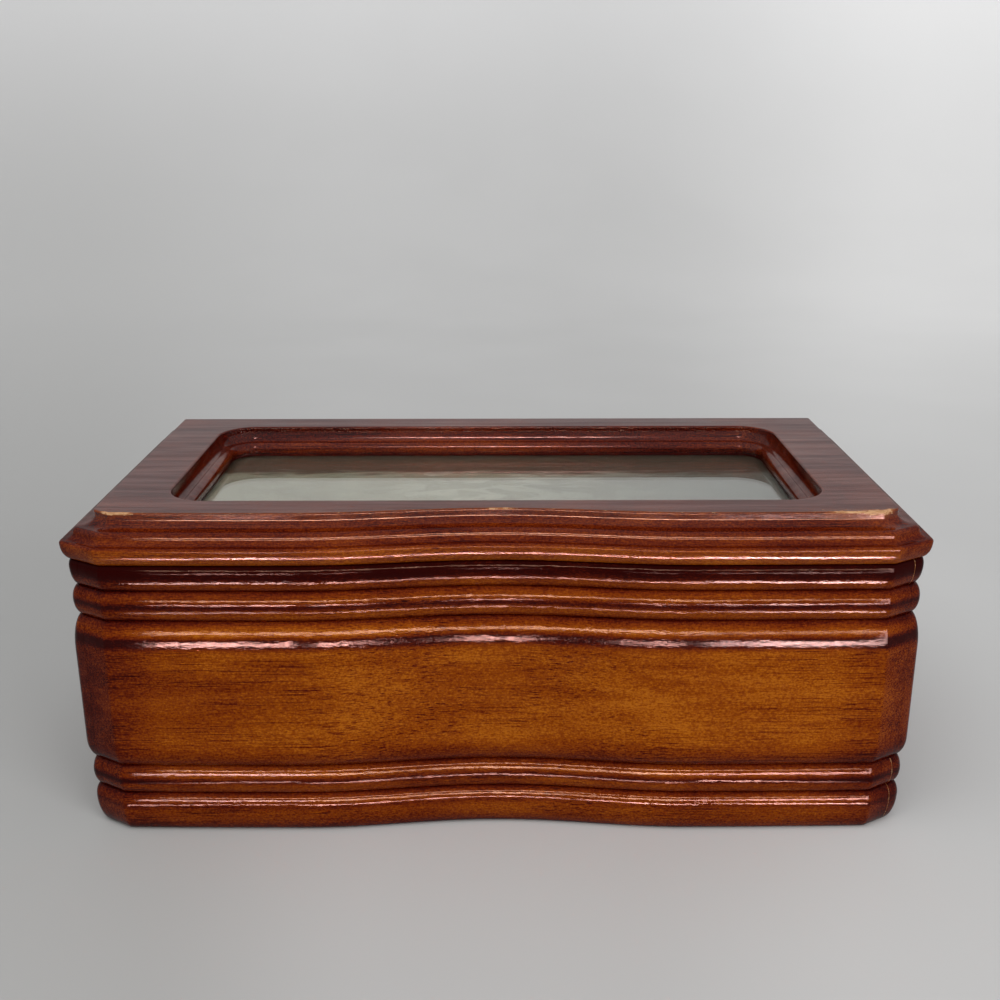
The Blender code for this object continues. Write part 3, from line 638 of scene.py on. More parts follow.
def side_columns(side):
    """A side wall's columns, from the back to its seam. The right wall mirrors the left one."""
    points = spread_outline(CASE_ARRIS)[:SIDE_STEPS + ARRIS_STEPS + 1]
    seam, seam_spread, seam_inner, along = seam_column(-1)
    clear = Vector((-along.y, along.x)) * SEAM_HAIRLINE
    clear = clear if clear.y > 0 else -clear
    inward = Vector((1.0, 0.0))
    columns = []
    for point, spread in points:
        share = (BACK_FACE - point.y) / (BACK_FACE - seam.y)
        inner = Vector((-INNER_HALF, BACK_FACE + (INNER_FRONT + clear.y - BACK_FACE) * share))
        columns.append((point, spread, inner, inward))
    end = (seam + clear, seam_spread, seam_inner + clear, inward)
    columns.append(beside(columns[-1], end))
    columns.append(end)
    if side > 0:
        columns = [tuple(Vector((-item.x, item.y)) for item in column) for column in columns]
    return columns


def window_path(side, share):
    """A place on the window's outline and its outward normal, along one side between the corners' middles.

    Side 0 is the left one, from back to front, and the others follow round the front.
    """
    across = WINDOW_HALF - WINDOW_RADIUS
    rear = WINDOW_BACK - WINDOW_RADIUS
    front = WINDOW_FRONT + WINDOW_RADIUS
    centres = [Vector(place) for place in ((-across, rear), (-across, front), (across, front), (across, rear))]
    start = centres[side]
    end = centres[(side + 1) % 4]
    facing = math.pi + math.pi / 2 * side
    arc = WINDOW_RADIUS * math.pi / 4
    straight = (end - start).length
    along = share * (2 * arc + straight)
    if along < arc:
        centre, angle = start, facing - (arc - along) / WINDOW_RADIUS
    elif along <= arc + straight:
        centre, angle = start.lerp(end, (along - arc) / straight), facing
    else:
        centre, angle = end, facing + (along - arc - straight) / WINDOW_RADIUS
    normal = Vector((math.cos(angle), math.sin(angle)))
    return centre + normal * WINDOW_RADIUS, normal


def lid_columns():
    """The lid's outer edge, point by point, with the window's edge across from it."""
    points = spread_outline(LID_ARRIS)
    cant = SIDE_STEPS + ARRIS_STEPS + 1
    last = len(points) - 1
    right_back, right_spread = points[-1]
    left_back, left_spread = points[0]
    for i in range(1, BACK_STEPS):
        share = i / BACK_STEPS
        points.append((right_back.lerp(left_back, share), right_spread.lerp(left_spread, share)))
    points.append(points[0])
    anchors = [0, cant, last - cant, last, len(points) - 1]
    columns = []
    for side in range(4):
        run = points[anchors[side]:anchors[side + 1] + 1]
        lengths = [0.0]
        for (here, _), (there, _) in zip(run, run[1:]):
            lengths.append(lengths[-1] + (there - here).length)
        for (point, spread), length in list(zip(run, lengths))[:-1]:
            edge, normal = window_path(side, length / lengths[-1])
            columns.append((point, spread, edge, normal))
    columns.append(columns[0])
    return columns


# Stain with its painted light and shade, lacquer and wear, laid point by point

def ramp(value, low, high):
    """From 0 at low to 1 at high, and level beyond them."""
    return min(1.0, max(0.0, (value - low) / (high - low)))


def fading(distance, reach):
    """From 1 at an edge to 0 at reach."""
    return 1 - ramp(distance, 0.0, reach)


def stretch(value, low, high):
    """Close to 1 between low and high, and 0 at both."""
    middle, half = (low + high) / 2, (high - low) / 2
    return max(0.0, 1 - (abs(value - middle) / half) ** 4)


def stain_and_shading_at(height):
    """The case's stain, with its painted light and shade, at a height, between the two nearest rows of its
    table.
    """
    for (low, tone), (high, next_tone) in zip(CASE_STAIN_AND_SHADING, CASE_STAIN_AND_SHADING[1:]):
        if height <= high:
            return tone + (next_tone - tone) * ramp(height, low, high)
    return CASE_STAIN_AND_SHADING[-1][1]


def seam_distance(point):
    """How far a point of the outer face lies from the right seam, seen from above."""
    on_cant, _, inner, along = seam_column(1)
    if point.y > on_cant.y + SEAM_SEARCH or point.x < inner.x + SEAM_SEARCH:
        return 1.0
    offset = Vector((point.x, point.y)) - on_cant
    return abs(offset.x * along.y - offset.y * along.x)


def cant_shading(point):
    """How much painted shade a place takes for facing away from the light in front: most on the cants, a little
    on the sides.
    """
    on_cant = ramp(abs(point.x), FRONT_CORNER, FRONT_CORNER + CANT_BLEND)
    on_side = ramp(point.y, CANT_BACK, CANT_BACK + SIDE_BLEND)
    return on_cant * (1 - SIDE_THINNING * on_side)


def crest_sheen(point):
    """How much painted sheen lightens the front where its two crests are broadest."""
    off_crest = (abs(point.x) - CREST_SPACING / 2) / CREST_GLOW_WIDTH
    return math.exp(-off_crest ** 2) * fading(abs(point.z - CREST_GLOW_HEIGHT), CREST_GLOW_REACH)


def case_rule(point, _):
    """The case's tone, wear and lacquer. The tone is the stain table with its painted light and shade; painted
    shade darkens the cants, the tone darkens towards the panel's left and the front's ends, and a painted sheen
    lightens the crests.
    """
    cant_shade = LEFT_CANT_SHADE if point.x < 0 else RIGHT_CANT_SHADE
    # The stain by height with its painted light and shade, and painted shade on the cants.
    tone = stain_and_shading_at(point.z) * (1 - cant_shade * cant_shading(point))
    tone -= (LEFT_SHADE * fading(point.x + FRONT_CORNER, LEFT_SHADE_REACH)
             * stretch(point.z, *LEFT_SHADE_HEIGHTS))
    tone -= END_SHADE * fading(FRONT_CORNER - abs(point.x), END_SHADE_REACH)
    # Painted sheen at the crests.
    tone += CREST_GLOW * crest_sheen(point)
    coat = 1 - RIM_THINNING * ramp(point.z, *RIM_THIN_HEIGHTS)
    sound_from, sound_to = SEAM_SOUND_HEIGHTS
    at_seam = point.x > 0 and seam_distance(point) < 2 * SEAM_HAIRLINE
    wear = SEAM_WEAR if at_seam and not sound_from < point.z < sound_to else 0.0
    return tone, wear, coat


def lid_rule(point, tone):
    """The lid's stain, wear and lacquer: a rubbed front corner, worn lines and small knocks along the edge, and
    painted shade on its cants.
    """
    drop = LID_TOP - point.z
    top_edge = FRONT_FACE + front_line(min(abs(point.x), FRONT_CORNER)) + LID_EDGE_SETBACK
    inward = point.y - top_edge
    past_corner = abs(point.x) - (FRONT_CORNER - LID_CORNER_INSET)
    if past_corner > 0:
        inward -= past_corner * CANT_DEPTH / CANT_WIDTH
    elif inward > FRONT_RAIL:
        return tone, 0.0, 1.0
    off_edge = max(drop, inward) if drop < TOP_SKIN else drop
    wear = EDGE_WEAR * fading(off_edge, EDGE_WEAR_REACH)
    for low, high, reach, amount in WORN_STRETCHES:
        worn = fading(off_edge - reach * WORN_CENTRE_SHARE, reach)
        wear = max(wear, amount * stretch(point.x, low, high) * worn)
    coat = 1 - FASCIA_THINNING * ramp(drop, *FASCIA_THIN_DROPS) - NOSE_THINNING * ramp(drop, *NOSE_THIN_DROPS)
    # Painted shade on the lid's cants below its top edge.
    if drop > LID_SHADE_DROP:
        tone *= 1 - LID_CANT_SHADE * cant_shading(point)
    return tone, wear if inward < WORN_DEPTH else 0.0, coat


def lay_stain_and_shading(mesh, rule):
    """Writes the tone, stain with its painted light and shade, the wear and the coat of each point of a
    moulding.
    """
    mesh.attributes.new("wear", "FLOAT", "POINT")
    mesh.attributes.new("coat", "FLOAT", "POINT")
    tones, wear, coat = (mesh.attributes[label].data for label in ("tone", "wear", "coat"))
    for i, vertex in enumerate(mesh.vertices):
        tones[i].value, wear[i].value, coat[i].value = rule(vertex.co, tones[i].value)


# Finishes

def colour(red, green, blue):
    return (red, green, blue, 1.0)


# Stains from the darkest to the lightest
STAINS = (
    (0.00, colour(0.022, 0.0008, 0.0005)),
    (0.25, colour(0.070, 0.0050, 0.0008)),
    (0.50, colour(0.150, 0.0210, 0.0010)),
    (0.75, colour(0.250, 0.0520, 0.0014)),
    (1.00, colour(0.400, 0.1150, 0.0060)),
)
LIGHTEST_SHADE = 1.2
FLAT_BOARD_TONE = 0.75
BARE_WOOD = colour(0.60, 0.36, 0.19)
BARE_WOOD_PORES = colour(0.36, 0.17, 0.075)
RUBBED_STAIN = colour(0.30, 0.100, 0.028)

# How far each pattern lightens or darkens the stain
FIGURE_SWING = (-0.13, 0.13)
CLOUD_SWING = (-0.07, 0.10)
MOTTLE_SWING = (-0.21, 0.21)
FIBRE_SWING = (0.13, -0.17)
STREAK_DEPTH = 0.46

# Relief of the lacquer, and the gloss and smear of each
LACQUER_RELIEF = 0.00008
CASE_GLOSS = 1.19
CASE_SMEAR = 0.025
BACK_SMEAR = 0.05
LID_GLOSS = 1.46
LID_SMEAR = 0.12

# Card behind the glass: where its rear band and ends of painted shadow and reflection begin and are full
CARD_REAR = (0.0185, 0.0255)
CARD_REAR_WANDER = 0.0035
CARD_ENDS = (0.1000, 0.1055)
CARD_DARKER_SIDE = (-0.02, 0.085)
CARD_TORN_SIDE = (-0.045, -0.020)
CARD_PATCH_START = (3.1, 0.7, 0.0)


class Finish(Nodes):
    """A surface under way: nodes are laid in one after another."""

    def __init__(self, name):
        self.material = bpy.data.materials.new(name)
        self.material.use_nodes = True
        super().__init__(self.material.node_tree)
        self.shader = self.tree.nodes["Principled BSDF"]
        self.place = self.node("ShaderNodeTexCoord").outputs["Object"]

    def grain(self, size, detail=2.0, roughness=0.5, distortion=0.0, start=(0.0, 0.0, 0.0)):
        """A cloudy pattern of a size along each axis."""
        scale = tuple(1.0 / length for length in size)
        places = self.node("ShaderNodeMapping", {"Vector": self.place, "Scale": scale, "Location": start})
        made = self.node("ShaderNodeTexNoise", {
            "Vector": places.outputs[0], "Scale": 1.0, "Detail": detail,
            "Roughness": roughness, "Distortion": distortion})
        return made.outputs["Fac"]

    def between(self, value, low, high, start=0.0, end=1.0, kind="SMOOTHSTEP"):
        """Carries value from low to high over to start to end."""
        made = self.node("ShaderNodeMapRange", {
            "Value": value, "From Min": low, "From Max": high, "To Min": start, "To Max": end},
            interpolation_type=kind)
        return made.outputs["Result"]

    def mixed(self, share, first, second):
        made = self.node("ShaderNodeMix", data_type="RGBA", clamp_factor=True)
        self.feed(made.inputs["Factor"], share)
        self.feed(made.inputs[6], first)
        self.feed(made.inputs[7], second)
        return made.outputs[2]

    def attribute(self, label):
        return self.node("ShaderNodeAttribute", attribute_name=label).outputs["Fac"]

    def bump(self, height, strength, distance, under=None):
        made = self.node("ShaderNodeBump", {
            "Height": height, "Strength": strength, "Distance": distance, "Normal": under})
        return made.outputs[0]

    def set(self, **sockets):
        for key, value in sockets.items():
            self.feed(self.shader.inputs[key.replace("_", " ")], value)


def stain_colour(finish, size, tone, figure, streak, fibre):
    """The stain's colour for a tone, broken up by the wood's figure, clouds, mottle, streaks and fibres."""
    cloud = finish.grain((0.034, 0.030, 0.020))
    gather = finish.grain(size(0.060, 0.010), detail=1.0)
    mottle = finish.grain((0.0007, 0.0006, 0.0006), roughness=0.55)
    streaked = finish.maths("MULTIPLY", finish.between(streak, 0.55, 0.64), finish.between(gather, 0.42, 0.60))
    shade = finish.maths("ADD", tone, finish.between(figure, 0.25, 0.75, *FIGURE_SWING, "LINEAR"))
    shade = finish.maths("ADD", shade, finish.between(cloud, 0.35, 0.70, *CLOUD_SWING))
    shade = finish.maths("ADD", shade, finish.between(mottle, 0.28, 0.72, *MOTTLE_SWING, "LINEAR"))
    shade = finish.maths("SUBTRACT", shade, finish.maths("MULTIPLY", streaked, STREAK_DEPTH))
    shade = finish.maths("ADD", shade, finish.between(fibre, 0.30, 0.70, *FIBRE_SWING))
    share = finish.between(shade, 0.0, LIGHTEST_SHADE, kind="LINEAR")
    stains = finish.node("ShaderNodeValToRGB", {"Fac": share})
    while len(stains.color_ramp.elements) < len(STAINS):
        stains.color_ramp.elements.new(0.5)
    for element, (at, stain) in zip(stains.color_ramp.elements, STAINS):
        element.position = at
        element.color = stain
    return stains.outputs["Color"]


def worn_through(finish, fibre, base):
    """The stain rubbed thin and, where it is deeply worn, off the bare wood, with how far it is off."""
    wear = finish.attribute("wear")
    ragged = finish.grain((0.0016, 0.0011, 0.0009), detail=4.0, roughness=0.65, distortion=0.3)
    torn = finish.maths("ADD", wear, finish.between(ragged, 0.2, 0.8, -0.45, 0.45, "LINEAR"))
    worn = finish.between(torn, 0.52, 0.66)
    bare = finish.mixed(finish.between(fibre, 0.35, 0.65), BARE_WOOD, BARE_WOOD_PORES)
    base = finish.mixed(finish.between(wear, 0.24, 0.58, 0.0, 0.85), base, RUBBED_STAIN)
    return finish.mixed(worn, base, bare), worn


def stained_wood(name, along, gloss, smear, carved=True):
    """Stained and lacquered wood, with its grain along X or Y.

    gloss is the lacquer's index of refraction, and smear its roughness. Carved wood has its tone,
    wear and coat laid on point by point, and a flat board has one tone.
    """
    finish = Finish(name)

    def size(length, width):
        return (length, width, width) if along == "X" else (width, length, width)

    figure = finish.grain(size(0.060, 0.0042), detail=3.0, roughness=0.55, distortion=0.4)
    streak = finish.grain(size(0.036, 0.00032), distortion=0.1)
    fibre = finish.grain(size(0.0022, 0.00024), roughness=0.6)
    tone = finish.attribute("tone") if carved else FLAT_BOARD_TONE
    base = stain_colour(finish, size, tone, figure, streak, fibre)
    coat = finish.between(figure, 0.3, 0.7, 0.72, 1.0)
    if carved:
        base, worn = worn_through(finish, fibre, base)
        coat = finish.maths("MULTIPLY", coat, finish.attribute("coat"))
        coat = finish.maths("MULTIPLY", coat, finish.between(worn, 0.0, 1.0, 1.0, 0.15, "LINEAR"))
    lacquer = finish.grain((0.00150, 0.00070, 0.00070), detail=3.0, roughness=0.6)
    wave = finish.grain(size(0.0060, 0.0012))
    skin = finish.bump(wave, 0.46, LACQUER_RELIEF)
    skin = finish.bump(lacquer, 0.30, LACQUER_RELIEF, skin)
    open_grain = finish.bump(streak, 0.20, LACQUER_RELIEF, skin)
    finish.set(Base_Color=base, Roughness=finish.between(fibre, 0.3, 0.7, 0.48, 0.62),
               Specular_IOR_Level=0.0, Coat_Weight=coat, Coat_Roughness=smear, Coat_IOR=gloss,
               Normal=open_grain, Coat_Normal=skin)
    return finish.material


def bare_board(name, light, dark):
    """Plain unpolished board."""
    finish = Finish(name)
    ring = finish.grain((0.090, 0.006, 0.006), detail=3.0, roughness=0.6, distortion=0.6)
    fibre = finish.grain((0.008, 0.0003, 0.0003), roughness=0.6)
    base = finish.mixed(finish.between(ring, 0.3, 0.7), light, dark)
    base = finish.mixed(finish.between(fibre, 0.55, 0.75, 0.0, 0.35), base, dark)
    finish.set(Base_Color=base, Roughness=finish.between(fibre, 0.3, 0.7, 0.55, 0.72),
               Specular_IOR_Level=0.3, Normal=finish.bump(fibre, 0.3, 0.0001))
    return finish.material


def window_glass():
    """Clear glass that lets the lamps through to the card."""
    finish = Finish("window_glass")
    haze = finish.grain((0.020, 0.014, 0.014), detail=3.0)
    finish.set(Base_Color=colour(0.90, 0.93, 0.90), Roughness=finish.between(haze, 0.3, 0.7, 0.0, 0.03),
               IOR=1.46, Transmission_Weight=1.0)
    through = finish.node("ShaderNodeBsdfTransparent", {"Color": colour(0.93, 0.95, 0.93)})
    path = finish.node("ShaderNodeLightPath")
    chosen = finish.node("ShaderNodeMixShader", {
        0: path.outputs["Is Shadow Ray"], 1: finish.shader.outputs[0], 2: through.outputs[0]})
    finish.feed(finish.tree.nodes["Material Output"].inputs["Surface"], chosen.outputs[0])
    return finish.material


def faded_card():
    """Grey-green card: painted shadow and reflection darken it along the rear and the ends, it is darker
    towards the right, and it has torn patches where its skin has lifted.
    """
    finish = Finish("faded_card")
    across, behind, _ = finish.node("ShaderNodeSeparateXYZ", {0: finish.place}).outputs
    cloud = finish.grain((0.030, 0.016, 0.016), detail=4.0, roughness=0.6, distortion=0.5)
    patch = finish.grain((0.024, 0.013, 0.013), detail=4.0, roughness=0.6, distortion=1.2,
                         start=CARD_PATCH_START)
    shred = finish.grain((0.018, 0.003, 0.003), detail=3.0, roughness=0.6, distortion=0.6)
    speck = finish.grain((0.0016, 0.0016, 0.0016), detail=1.0)
    base = finish.mixed(finish.between(cloud, 0.3, 0.7),
                        colour(0.195, 0.180, 0.136), colour(0.265, 0.247, 0.190))
    torn = finish.maths("MULTIPLY", finish.between(patch, 0.50, 0.53, 0.0, 0.7),
                        finish.between(across, *CARD_TORN_SIDE, 0.25, 1.0))
    base = finish.mixed(torn, base, colour(0.395, 0.37, 0.315))
    # Darker towards the right.
    base = finish.mixed(finish.between(across, *CARD_DARKER_SIDE, 0.0, 0.90), base,
                        colour(0.120, 0.117, 0.108))
    base = finish.mixed(finish.between(speck, 0.74, 0.78, 0.0, 0.5), base, colour(0.16, 0.14, 0.11))
    # Painted shadow and reflection of the frame along the rear and at the ends.
    wander = finish.between(shred, 0.3, 0.7, -CARD_REAR_WANDER, CARD_REAR_WANDER, "LINEAR")
    rear = finish.between(finish.maths("ADD", behind, wander), *CARD_REAR)
    ends = finish.between(finish.maths("ABSOLUTE", across), *CARD_ENDS)
    shaded = finish.maths("MULTIPLY", finish.maths("MAXIMUM", rear, ends), 0.93)
    base = finish.mixed(shaded, base, colour(0.050, 0.034, 0.022))
    finish.set(Base_Color=base, Roughness=0.85, Specular_IOR_Level=0.2,
               Normal=finish.bump(patch, 0.3, 0.0003))
    return finish.material


def velvet(name, pile, shadow):
    """Short-piled velvet, darker where the pile is brushed down."""
    finish = Finish(name)
    brushed = finish.grain((0.034, 0.026, 0.026), roughness=0.45, distortion=0.2)
    tuft = finish.grain((0.00045, 0.00045, 0.00045), roughness=0.6)
    base = finish.mixed(finish.between(brushed, 0.30, 0.70, 0.0, 0.45), pile, shadow)
    base = finish.mixed(finish.between(tuft, 0.5, 0.75, 0.0, 0.5), base, shadow)
    finish.set(Base_Color=base, Roughness=finish.between(tuft, 0.3, 0.7, 0.80, 0.95),
               Specular_IOR_Level=0.1, Sheen_Weight=0.6, Sheen_Roughness=0.35,
               Sheen_Tint=colour(0.75, 0.35, 0.33), Normal=finish.bump(tuft, 0.6, 0.00025))
    return finish.material


def worn_metal(name, bright, dull, roughness):
    """Old metal, duller in the hollows of its brushed skin."""
    finish = Finish(name)
    tarnish = finish.grain((0.0028, 0.0022, 0.0022), detail=3.0, roughness=0.55, distortion=0.1)
    scratch = finish.grain((0.006, 0.00012, 0.0006), roughness=0.6)
    base = finish.mixed(finish.between(tarnish, 0.42, 0.78), bright, dull)
    rough = finish.between(tarnish, 0.35, 0.70, roughness, roughness + 0.14)
    finish.set(Base_Color=base, Metallic=1.0, Roughness=rough, Normal=finish.bump(scratch, 0.15, 0.00004))
    return finish.material


MOULDING = moulding_tree()
CASE_WOOD = stained_wood("stained_case_front", "X", CASE_GLOSS, CASE_SMEAR)
SIDE_WOOD = stained_wood("stained_case_side", "Y", CASE_GLOSS, CASE_SMEAR)
BACK_WOOD = stained_wood("stained_case_back", "X", CASE_GLOSS, BACK_SMEAR, carved=False)
LID_WOOD = stained_wood("stained_lid", "X", LID_GLOSS, LID_SMEAR)
FLOOR_BOARD = bare_board("floor_board", colour(0.38, 0.24, 0.13), colour(0.20, 0.11, 0.05))
BACKING_BOARD = bare_board("backing_board", colour(0.42, 0.29, 0.17), colour(0.26, 0.16, 0.08))
GLASS = window_glass()
CARD = faded_card()
VELVET = velvet("lining_velvet", colour(0.20, 0.018, 0.028), colour(0.075, 0.006, 0.012))
BRASS = worn_metal("hinge_brass", colour(0.62, 0.46, 0.20), colour(0.38, 0.27, 0.12), 0.30)
STEEL = worn_metal("pin_steel", colour(0.60, 0.59, 0.57), colour(0.30, 0.29, 0.27), 0.25)
SCREW_BRASS = worn_metal("screw_brass", colour(0.70, 0.50, 0.20), colour(0.32, 0.22, 0.10), 0.30)


def dress(node, material):
    """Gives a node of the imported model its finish."""
    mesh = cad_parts[node].data
    mesh.materials.clear()
    mesh.materials.append(material)


# Case and lid

def pocket(node, bottom, top, rear=None):
    """A cutter that clears a node by the fit gap, between two heights and up to a rear face."""
    low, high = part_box(node)
    rear = high.y + FIT_GAP if rear is None else rear
    return cutting_box(node + "_pocket", (low.x - FIT_GAP, low.y - FIT_GAP, bottom),
                       (high.x + FIT_GAP, rear, top))


def build_case():
    low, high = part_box("bottom_panel")
    rebate = pocket("bottom_panel", low.z - CUT_OVERRUN, high.z + BED_GAP)
    parts = (
        ("front_moulding", front_columns(), CASE_WOOD, "front_wall"),
        ("left_moulding", side_columns(-1), SIDE_WOOD, "left_wall"),
        ("right_moulding", side_columns(1), SIDE_WOOD, "right_wall"),
    )
    for name, columns, wood, node in parts:
        mesh = swept(name, columns, case_section(), wood)
        lay_stain_and_shading(mesh, case_rule)
        mesh = cut_away(mesh, [rebate])
        smooth(mesh)
        piece_of(name, mesh, "case", [node])
    dress("back_wall", BACK_WOOD)
    dress("bottom_panel", FLOOR_BOARD)


def build_lid():
    below = LID_BOTTOM - CUT_OVERRUN
    cutters = [pocket("glass_pane", below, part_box("glass_pane")[1].z + BED_GAP)]
    for side in ("left", "right"):
        cutters.append(pocket(side + "_hinge_lid_leaf", below, LID_BOTTOM + LEAF_RECESS,
                              BACK_FACE + CUT_OVERRUN))
    mesh = swept("lid_frame", lid_columns(), lid_section(), LID_WOOD)
    lay_stain_and_shading(mesh, lid_rule)
    mesh = cut_away(mesh, cutters)
    smooth(mesh)
    piece_of("lid_frame", mesh, "lid", ["lid_board"])
    dress("glass_pane", GLASS)
    dress("display_card", CARD)
    dress("lid_backing", BACKING_BOARD)


# Linings

PAD_CELL = 0.0022
PAD_LEAST_CELLS = 12
PAD_EASING = 0.030
PAD_EDGE = 0.0022
PAD_RIM_SHARE = 0.22
PAD_CROWN = 0.35
PAD_RIPPLE = 0.10
PAD_RIPPLES_PER_METRE = 60
PAD_RIPPLE_START = 4.0
PAD_SHARP_ANGLE = math.radians(60)


def eased(step, count):
    """A share of the way across a pad, with more points close to its edges."""
    share = step / count
    return share - PAD_EASING * math.sin(2 * math.pi * share)


def edge_round(share, length):
    """From 0 at a pad's edge to 1 a little way in."""
    inward = min(share, 1 - share) * length / PAD_EDGE
    return math.sqrt(1 - (1 - min(1.0, inward)) ** 2)


def pad_fullness(u, v, lengths, ripple):
    """How much of its thickness a pad fills at a place: rounded at the edges and crowned in the middle."""
    edge = edge_round(u, lengths[0]) * edge_round(v, lengths[1])
    swell = 1 - PAD_CROWN + PAD_CROWN * (1 - (2 * u - 1) ** 4) * (1 - (2 * v - 1) ** 4)
    swell += PAD_RIPPLE * (ripple - 1)
    return min(1.0, (PAD_RIM_SHARE + (1 - PAD_RIM_SHARE) * edge) * swell)


def padded_mesh(name, low, high, thin, face, material):
    """A covered pad: flat behind, and crowned with rounded edges on its face.

    thin is the axis of its thickness, and face says which way it bulges.
    """
    wide, tall = [axis for axis in range(3) if axis != thin]
    lengths = [high[axis] - low[axis] for axis in (wide, tall)]
    cells = [max(PAD_LEAST_CELLS, round(length / PAD_CELL)) for length in lengths]
    thickness = high[thin] - low[thin]
    back = low[thin] if face > 0 else high[thin]
    shape = bmesh.new()
    layers = []
    for bulging in (False, True):
        rows = []
        for i in range(cells[0] + 1):
            row = []
            for j in range(cells[1] + 1):
                u, v = eased(i, cells[0]), eased(j, cells[1])
                place = [0.0, 0.0, 0.0]
                place[wide] = low[wide] + lengths[0] * u
                place[tall] = low[tall] + lengths[1] * v
                place[thin] = back
                if bulging:
                    ripple = noise.noise(Vector((
                        place[wide] * PAD_RIPPLES_PER_METRE, place[tall] * PAD_RIPPLES_PER_METRE,
                        PAD_RIPPLE_START + thin)))
                    place[thin] += face * thickness * pad_fullness(u, v, lengths, ripple)
                row.append(shape.verts.new(place))
            rows.append(row)
        layers.append(rows)
    for rows in layers:
        for i in range(cells[0]):
            for j in range(cells[1]):
                shape.faces.new((rows[i][j], rows[i + 1][j], rows[i + 1][j + 1], rows[i][j + 1]))
    rim = [(i, 0) for i in range(cells[0])] + [(cells[0], j) for j in range(cells[1])]
    rim += [(i, cells[1]) for i in range(cells[0], 0, -1)] + [(0, j) for j in range(cells[1], 0, -1)]
    behind, before = layers
    for (i, j), (next_i, next_j) in zip(rim, rim[1:] + rim[:1]):
        shape.faces.new((behind[i][j], behind[next_i][next_j], before[next_i][next_j], before[i][j]))
    bmesh.ops.recalc_face_normals(shape, faces=shape.faces)
    mesh = mesh_of(name, shape)
    mesh.materials.append(material)
    smooth(mesh, PAD_SHARP_ANGLE)
    return mesh


def build_linings():
    parts = (
        ("velvet_floor", "floor_pad", 2, 1, "case", 0.8),
        ("velvet_front", "front_lining", 1, 1, "case", 0.7),
        ("velvet_back", "back_lining", 1, -1, "case", 0.7),
        ("velvet_left", "left_lining", 0, 1, "case", 0.7),
        ("velvet_right", "right_lining", 0, -1, "case", 0.7),
        ("velvet_lid", "lid_pad", 2, -1, "lid", 0.8),
    )
    for name, node, thin, face, body, fill in parts:
        low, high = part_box(node)
        mesh = padded_mesh(name, low, high, thin, face, VELVET)
        piece = piece_of(name, mesh, body, [node])


# Screws and hinges

HINGE_SCREW = (0.0016, 0.0008, 0.0066)
BACKING_SCREW = (0.0014, 0.0007, 0.0052)
SLOT_WIDTH_SHARE = 0.30
SLOT_DEPTH_SHARE = 0.28
SLOT_REACH_SHARE = 2.4
TIP_SHARE = 0.4
HEAD_SIDES = 28
SHANK_SIDES = 20
SLOT_TURN = 1.4


def screw_tree():
    """Slotted countersunk screws, one at each point, turned by its own angle."""
    lay = Joinery("slotted_screws", [
        ("Head Radius", "Float"), ("Shank Radius", "Float"), ("Length", "Float"),
        ("Slot Width", "Float"), ("Slot Depth", "Float"), ("Seed", "Int"), ("Metal", "Material")])
    head = lay.given("Head Radius")
    shank = lay.given("Shank Radius")
    length = lay.given("Length")
    sink = lay.maths("SUBTRACT", head, shank)

    def lowered(geometry, depth):
        move = lay.upward(lay.maths("MULTIPLY", depth, -1.0))
        return lay.node("GeometryNodeTransform", {"Geometry": geometry, "Translation": move}).outputs[0]

    cone = lay.node("GeometryNodeMeshCone", {
        "Vertices": HEAD_SIDES, "Side Segments": 2, "Fill Segments": 2,
        "Radius Top": head, "Radius Bottom": shank, "Depth": sink})
    slot_size = lay.node("ShaderNodeCombineXYZ", {
        "X": lay.maths("MULTIPLY", head, SLOT_REACH_SHARE), "Y": lay.given("Slot Width"),
        "Z": lay.maths("MULTIPLY", lay.given("Slot Depth"), 2.0)})
    slot = lay.node("GeometryNodeMeshCube", {"Size": slot_size.outputs[0]})
    slotted = lay.node("GeometryNodeMeshBoolean", {
        "Mesh 1": lowered(cone.outputs["Mesh"], sink), "Mesh 2": slot.outputs["Mesh"]},
        operation="DIFFERENCE", solver="EXACT")
    body = lay.node("GeometryNodeMeshCone", {
        "Vertices": SHANK_SIDES, "Side Segments": 1, "Fill Segments": 1, "Radius Top": shank,
        "Radius Bottom": lay.maths("MULTIPLY", shank, TIP_SHARE), "Depth": length})
    whole = lay.node("GeometryNodeJoinGeometry")
    lay.feed(whole.inputs[0], slotted.outputs[0])
    lay.feed(whole.inputs[0], lowered(body.outputs["Mesh"], lay.maths("ADD", length, sink)))
    angle = lay.node("FunctionNodeRandomValue", {
        2: -SLOT_TURN, 3: SLOT_TURN, "Seed": lay.given("Seed")}, data_type="FLOAT")
    own_turn = lay.node("ShaderNodeCombineXYZ", {"X": lay.named("flip"), "Z": angle.outputs[1]})
    spread = lay.node("GeometryNodeInstanceOnPoints", {
        "Points": lay.given("Geometry"), "Instance": whole.outputs[0], "Rotation": own_turn.outputs[0]})
    return lay.finished(spread.outputs[0], lay.given("Metal"))


def screw_piece(name, nodes, points_up, body, sizes, seed, tree):
    """The screws that stand for some nodes, as one piece."""
    places = []
    for node in nodes:
        low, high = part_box(node)
        places.append(((low.x + high.x) / 2, (low.y + high.y) / 2, low.z if points_up else high.z))
    mesh = bpy.data.meshes.new(name)
    mesh.from_pydata(places, [], [])
    flip = mesh.attributes.new("flip", "FLOAT", "POINT")
    flip.data.foreach_set("value", [math.pi if points_up else 0.0] * len(places))
    head, shank, length = sizes
    values = {"Head Radius": head, "Shank Radius": shank, "Length": length,
              "Slot Width": head * SLOT_WIDTH_SHARE, "Slot Depth": head * SLOT_DEPTH_SHARE,
              "Seed": seed, "Metal": SCREW_BRASS}
    plain = worked_mesh(name, mesh, tree, values)
    smooth(plain)
    piece_of(name, plain, body, nodes)


